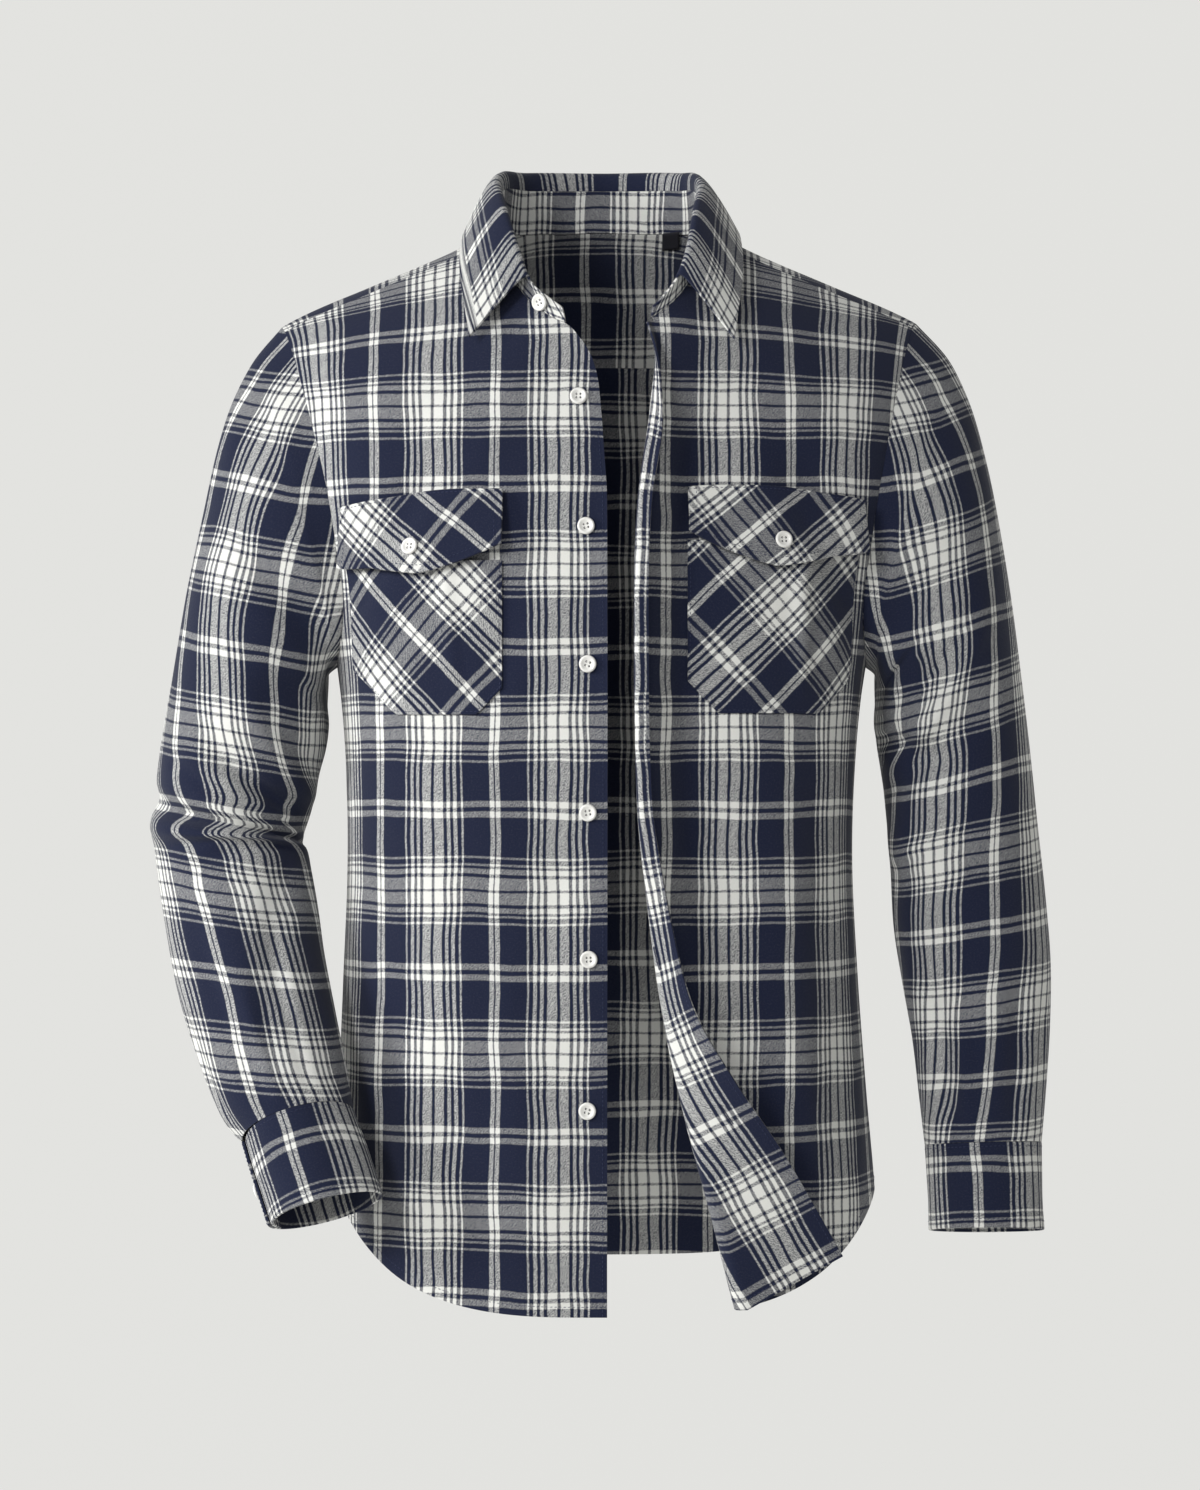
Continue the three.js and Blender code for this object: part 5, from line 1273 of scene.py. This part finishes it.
def build_buttons():
    """Stand, front, flap and cuff buttons, and the neck label."""
    for number, (x, z) in enumerate(FRONT_BUTTONS):
        normal = nearest(KEEP["right_front"], True, x, z)[1]
        place = on_body(np.array([x]), np.array([z]), 1, FRONT_BUTTON_OFF)[0]
        build_button(f"button_front_{number + 1}", place, normal, 0.3 * np.sin(2.3 * number))
    for word, (x, z) in FLAP_BUTTONS.items():
        place, normal = nearest(KEEP["pocket_flap_" + word], False, x, z)
        build_button("button_flap_" + word, place + normal * BUTTON_OFF, normal)
    place, normal = nearest(KEEP["stand"], True, *STAND_BUTTON)
    build_button("button_stand", place + normal * BUTTON_OFF, normal, 0.4)
    for word, flip in (("right", False), ("left", True)):
        ring = KEEP["cuff_" + word]
        j, i = ring.shape[0] // 2, int(0.06 * ring.shape[1])
        normal = normals_of(ring, flip)[j, i]
        build_button("button_cuff_" + word, ring[j, i] + normal * BUTTON_OFF, normal)
    x, z = np.meshgrid(np.linspace(44.2, 56, 8), np.linspace(18.5, 8, 8))
    label = on_body(x, z, -1, -2.0)
    piece = make_mesh("neck_label", label.reshape(-1, 3), grid_faces(8, 8))
    piece.data.materials.append(bpy.data.materials["woven label"])
    solid = piece.modifiers.new("wall", "SOLIDIFY")
    solid.thickness = 0.7 * MM
    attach(piece, "root")
    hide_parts("neck_label")


def build_plackets():
    """Sleeve plackets on the hidden backs of the sleeves, just above the cuffs."""
    for word, flip in (("right", False), ("left", True)):
        sleeve = KEEP["sleeve_" + word]
        rows, columns = sleeve.shape[:2]
        angles = np.linspace(180, -180, columns)
        part = sleeve[int(0.73 * rows) : int(0.955 * rows)][:, (angles < -56) & (angles > -82)]
        strip = part + normals_of(part, flip) * 1.3
        uv = to_check(run_lengths(strip, 1), run_lengths(strip, 0), PLACKET_PHASE)
        cloth("placket_" + word, [(strip, uv)], 1.0, flip=flip)


def build_sewing():
    """Lines of stitches along the edges and seams, and the buttonholes in the turned-back edge."""
    leaf, stand = KEEP["leaf"], KEEP["stand"]
    collar = [inset_path(leaf, True, "top", 6)]
    collar += [inset_path(leaf, True, edge, 6, 0.35) for edge in ("start", "end")]
    collar += [inset_path(stand, True, edge, 2.5) for edge in ("bottom", "start", "end")]
    stitches("collar_stitches", collar)
    cuffs = []
    for word, flip in (("right", False), ("left", True)):
        ring = KEEP["cuff_" + word]
        cuffs.append(inset_path(ring, flip, "top", 6, 0, 0.93))
        cuffs.append(inset_path(ring, flip, "bottom", 3, 0, 0.93))
        cuffs.append(inset_path(ring, flip, "start", 2.5))
    stitches("cuff_stitches", cuffs)
    for word in ("right", "left"):
        pocket, flap = KEEP["pocket_" + word], KEEP["pocket_flap_" + word]
        lines = [inset_path(pocket, False, edge, 2.2) for edge in ("start", "end", "bottom")]
        lines += [inset_path(flap, False, edge, 5.5) for edge in ("start", "end", "bottom")]
        lines.append(inset_path(flap, False, "top", 2.2))
        stitches("pocket_stitches_" + word, lines)
    right, left, back, turned = KEEP["right_front"], KEEP["left_front"], KEEP["back"], KEEP["facing"]
    body_lines = [
        inset_path(right, True, "bottom", 7),
        inset_path(right, True, "start", 3, 0, 0.75),
        inset_path(left, False, "bottom", 7),
        inset_path(back, False, "bottom", 7),
        inset_path(KEEP["yoke"], False, "top", 3),
        inset_path(turned, True, "start", 3),
        inset_path(turned, True, "bottom", 7),
    ]
    stitches("body_stitches", body_lines)
    holes = []
    for z in BUTTONHOLE_Z:
        points, normals = inset_path(turned, True, "start", 18)
        middle = np.argmin(np.abs(points[:, 2] - z))
        part = slice(middle - 2, middle + 3)
        for shift in (-0.7, 0.7):
            away = np.cross(normals[part], points[part][-1] - points[part][0])
            away /= np.linalg.norm(away, axis=1)[:, None]
            holes.append((points[part] + away * shift, normals[part]))
    stitches("buttonhole_stitches", holes, pitch=0.7, length=0.8, radius=0.45)


class ShirtSizes(bpy.types.PropertyGroup):
    """Sizes of the shirt's cloth, in mm."""

    cloth_mm: bpy.props.FloatProperty(name="Cloth", default=1.1, min=0.5, max=3)
    double_mm: bpy.props.FloatProperty(name="Doubled cloth", default=2.0, min=1, max=4)
    mesh_mm: bpy.props.FloatProperty(name="Mesh step", default=4.0, min=2, max=12)


class ShirtColours(bpy.types.PropertyGroup):
    """Colours of the shirt, as sRGB hex codes."""

    navy: bpy.props.StringProperty(name="Navy yarn", default="#1C2239")
    white: bpy.props.StringProperty(name="White yarn", default="#E9E9E4")
    button: bpy.props.StringProperty(name="Buttons", default="#F1F0EB")
    # the label's colour is also the painted shade of the button holes
    label: bpy.props.StringProperty(name="Label", default="#24242C")
    thread: bpy.props.StringProperty(name="Thread", default="#2A3150")
    floor: bpy.props.StringProperty(name="Backdrop", default="#E3E3E0")


class SHIRT_OT_materials(bpy.types.Operator):
    """Makes the flannel, button, label and thread materials"""

    bl_idname = "shirt.materials"
    bl_label = "Make materials"

    def execute(self, context):
        colours = context.scene.shirt_colours
        flannel("checked flannel", colours)
        plain("polyester button", colours.button, 0.3, 0.5)
        # the holes take the label's dark colour as painted shade for the holes
        plain("button hole painted shade", colours.label, 0.8)
        plain("white thread", colours.button, 0.7)
        plain("woven label", colours.label, 0.75)
        plain("sewing thread", colours.thread, 0.7)
        return {"FINISHED"}


class SHIRT_OT_panels(bpy.types.Operator):
    """Builds the fronts, back and yoke"""

    bl_idname = "shirt.panels"
    bl_label = "Build panels"

    def execute(self, context):
        build_fronts(context.scene.shirt_sizes)
        build_back(context.scene.shirt_sizes)
        return {"FINISHED"}


class SHIRT_OT_sleeves(bpy.types.Operator):
    """Builds the sleeves and cuffs"""

    bl_idname = "shirt.sleeves"
    bl_label = "Build sleeves"

    def execute(self, context):
        build_sleeves(context.scene.shirt_sizes)
        return {"FINISHED"}


class SHIRT_OT_collar(bpy.types.Operator):
    """Builds the collar's stand and leaf"""

    bl_idname = "shirt.collar"
    bl_label = "Build collar"

    def execute(self, context):
        build_collar(context.scene.shirt_sizes)
        return {"FINISHED"}


class SHIRT_OT_pockets(bpy.types.Operator):
    """Builds the pockets, their flaps and the sleeve plackets"""

    bl_idname = "shirt.pockets"
    bl_label = "Build pockets"

    def execute(self, context):
        build_pockets()
        build_plackets()
        return {"FINISHED"}


class SHIRT_OT_buttons(bpy.types.Operator):
    """Builds the buttons and the neck label"""

    bl_idname = "shirt.buttons"
    bl_label = "Build buttons"

    def execute(self, context):
        build_buttons()
        return {"FINISHED"}


class SHIRT_OT_sewing(bpy.types.Operator):
    """Sews the lines of stitches"""

    bl_idname = "shirt.sewing"
    bl_label = "Sew"

    def execute(self, context):
        build_sewing()
        return {"FINISHED"}


class SHIRT_OT_stage(bpy.types.Operator):
    """Sets up the backdrop, lights and camera"""

    bl_idname = "shirt.stage"
    bl_label = "Build stage"

    def execute(self, context):
        scene = context.scene
        material, _, shader = new_material("backdrop")
        pale = hex_colour(scene.shirt_colours.floor)
        set_shader(shader, Base_Color=[0.03 * v for v in pale[:3]] + [1.0], Roughness=1.0)
        set_shader(shader, Emission_Color=pale, Emission_Strength=BACKDROP_GLOW, Specular_IOR_Level=0.0)
        bend = np.linspace(0, 1, 40)
        curved = 800 + 900 * np.sin((bend - 0.4) / 0.6 * np.pi / 2)
        profile_y = np.where(bend < 0.4, -2500 + bend / 0.4 * 3300, curved)
        profile_z = -1150 + 3400 * np.clip((bend - 0.4) / 0.6, 0, 1) ** 2.2
        x = np.linspace(-3500, 3500, 30)
        grid = np.stack(np.broadcast_arrays(x[None, :], profile_y[:, None], profile_z[:, None]), -1)
        floor = make_mesh("backdrop", grid.reshape(-1, 3), grid_faces(40, 30))
        floor.data.materials.append(material)
        world = bpy.data.worlds.new("studio")
        scene.world = world
        world.use_nodes = True
        background = world.node_tree.nodes["Background"]
        background.inputs["Color"].default_value = (1, 1, 1, 1)
        background.inputs["Strength"].default_value = WORLD_STRENGTH
        for name, place, size, power in LIGHTS:
            light = bpy.data.lights.new(name, "AREA")
            light.energy = power
            light.size = size
            lamp = bpy.data.objects.new(name, light)
            lamp.location = place
            target = np.array(LIT_POINT) - np.array(place)
            lamp.rotation_euler = (
                np.arccos(-target[2] / np.linalg.norm(target)),
                0,
                np.arctan2(-target[0], target[1]),
            )
            scene.collection.objects.link(lamp)
        camera = bpy.data.cameras.new("camera")
        camera.sensor_fit = "VERTICAL"
        camera.sensor_height = CAMERA_SENSOR
        camera.lens = CAMERA_LENS
        eye = bpy.data.objects.new("camera", camera)
        eye.location = CAMERA_PLACE
        eye.rotation_euler = (np.pi / 2, 0, 0)
        scene.collection.objects.link(eye)
        scene.camera = eye
        scene.view_settings.view_transform = "Standard"
        return {"FINISHED"}


class SHIRT_PT_panel(bpy.types.Panel):
    """Buttons that build the shirt"""

    bl_idname = "SHIRT_PT_panel"
    bl_label = "Flannel shirt"
    bl_space_type = "VIEW_3D"
    bl_region_type = "UI"
    bl_category = "Shirt"

    def draw(self, context):
        for name in STEPS:
            self.layout.operator("shirt." + name)
        for name in ("cloth_mm", "double_mm", "mesh_mm"):
            self.layout.prop(context.scene.shirt_sizes, name)


STEPS = ("materials", "panels", "sleeves", "collar", "pockets", "buttons", "sewing", "stage")
CLASSES = (
    ShirtSizes,
    ShirtColours,
    SHIRT_OT_materials,
    SHIRT_OT_panels,
    SHIRT_OT_sleeves,
    SHIRT_OT_collar,
    SHIRT_OT_pockets,
    SHIRT_OT_buttons,
    SHIRT_OT_sewing,
    SHIRT_OT_stage,
    SHIRT_PT_panel,
)


def register():
    for one in CLASSES:
        bpy.utils.register_class(one)
    bpy.types.Scene.shirt_sizes = bpy.props.PointerProperty(type=ShirtSizes)
    bpy.types.Scene.shirt_colours = bpy.props.PointerProperty(type=ShirtColours)


def unregister():
    del bpy.types.Scene.shirt_sizes
    del bpy.types.Scene.shirt_colours
    for one in reversed(CLASSES):
        bpy.utils.unregister_class(one)


def main():
    register()
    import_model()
    for name in STEPS:
        if getattr(bpy.ops.shirt, name)() != {"FINISHED"}:
            raise RuntimeError("step " + name + " did not finish")


if __name__ == "__main__":
    main()
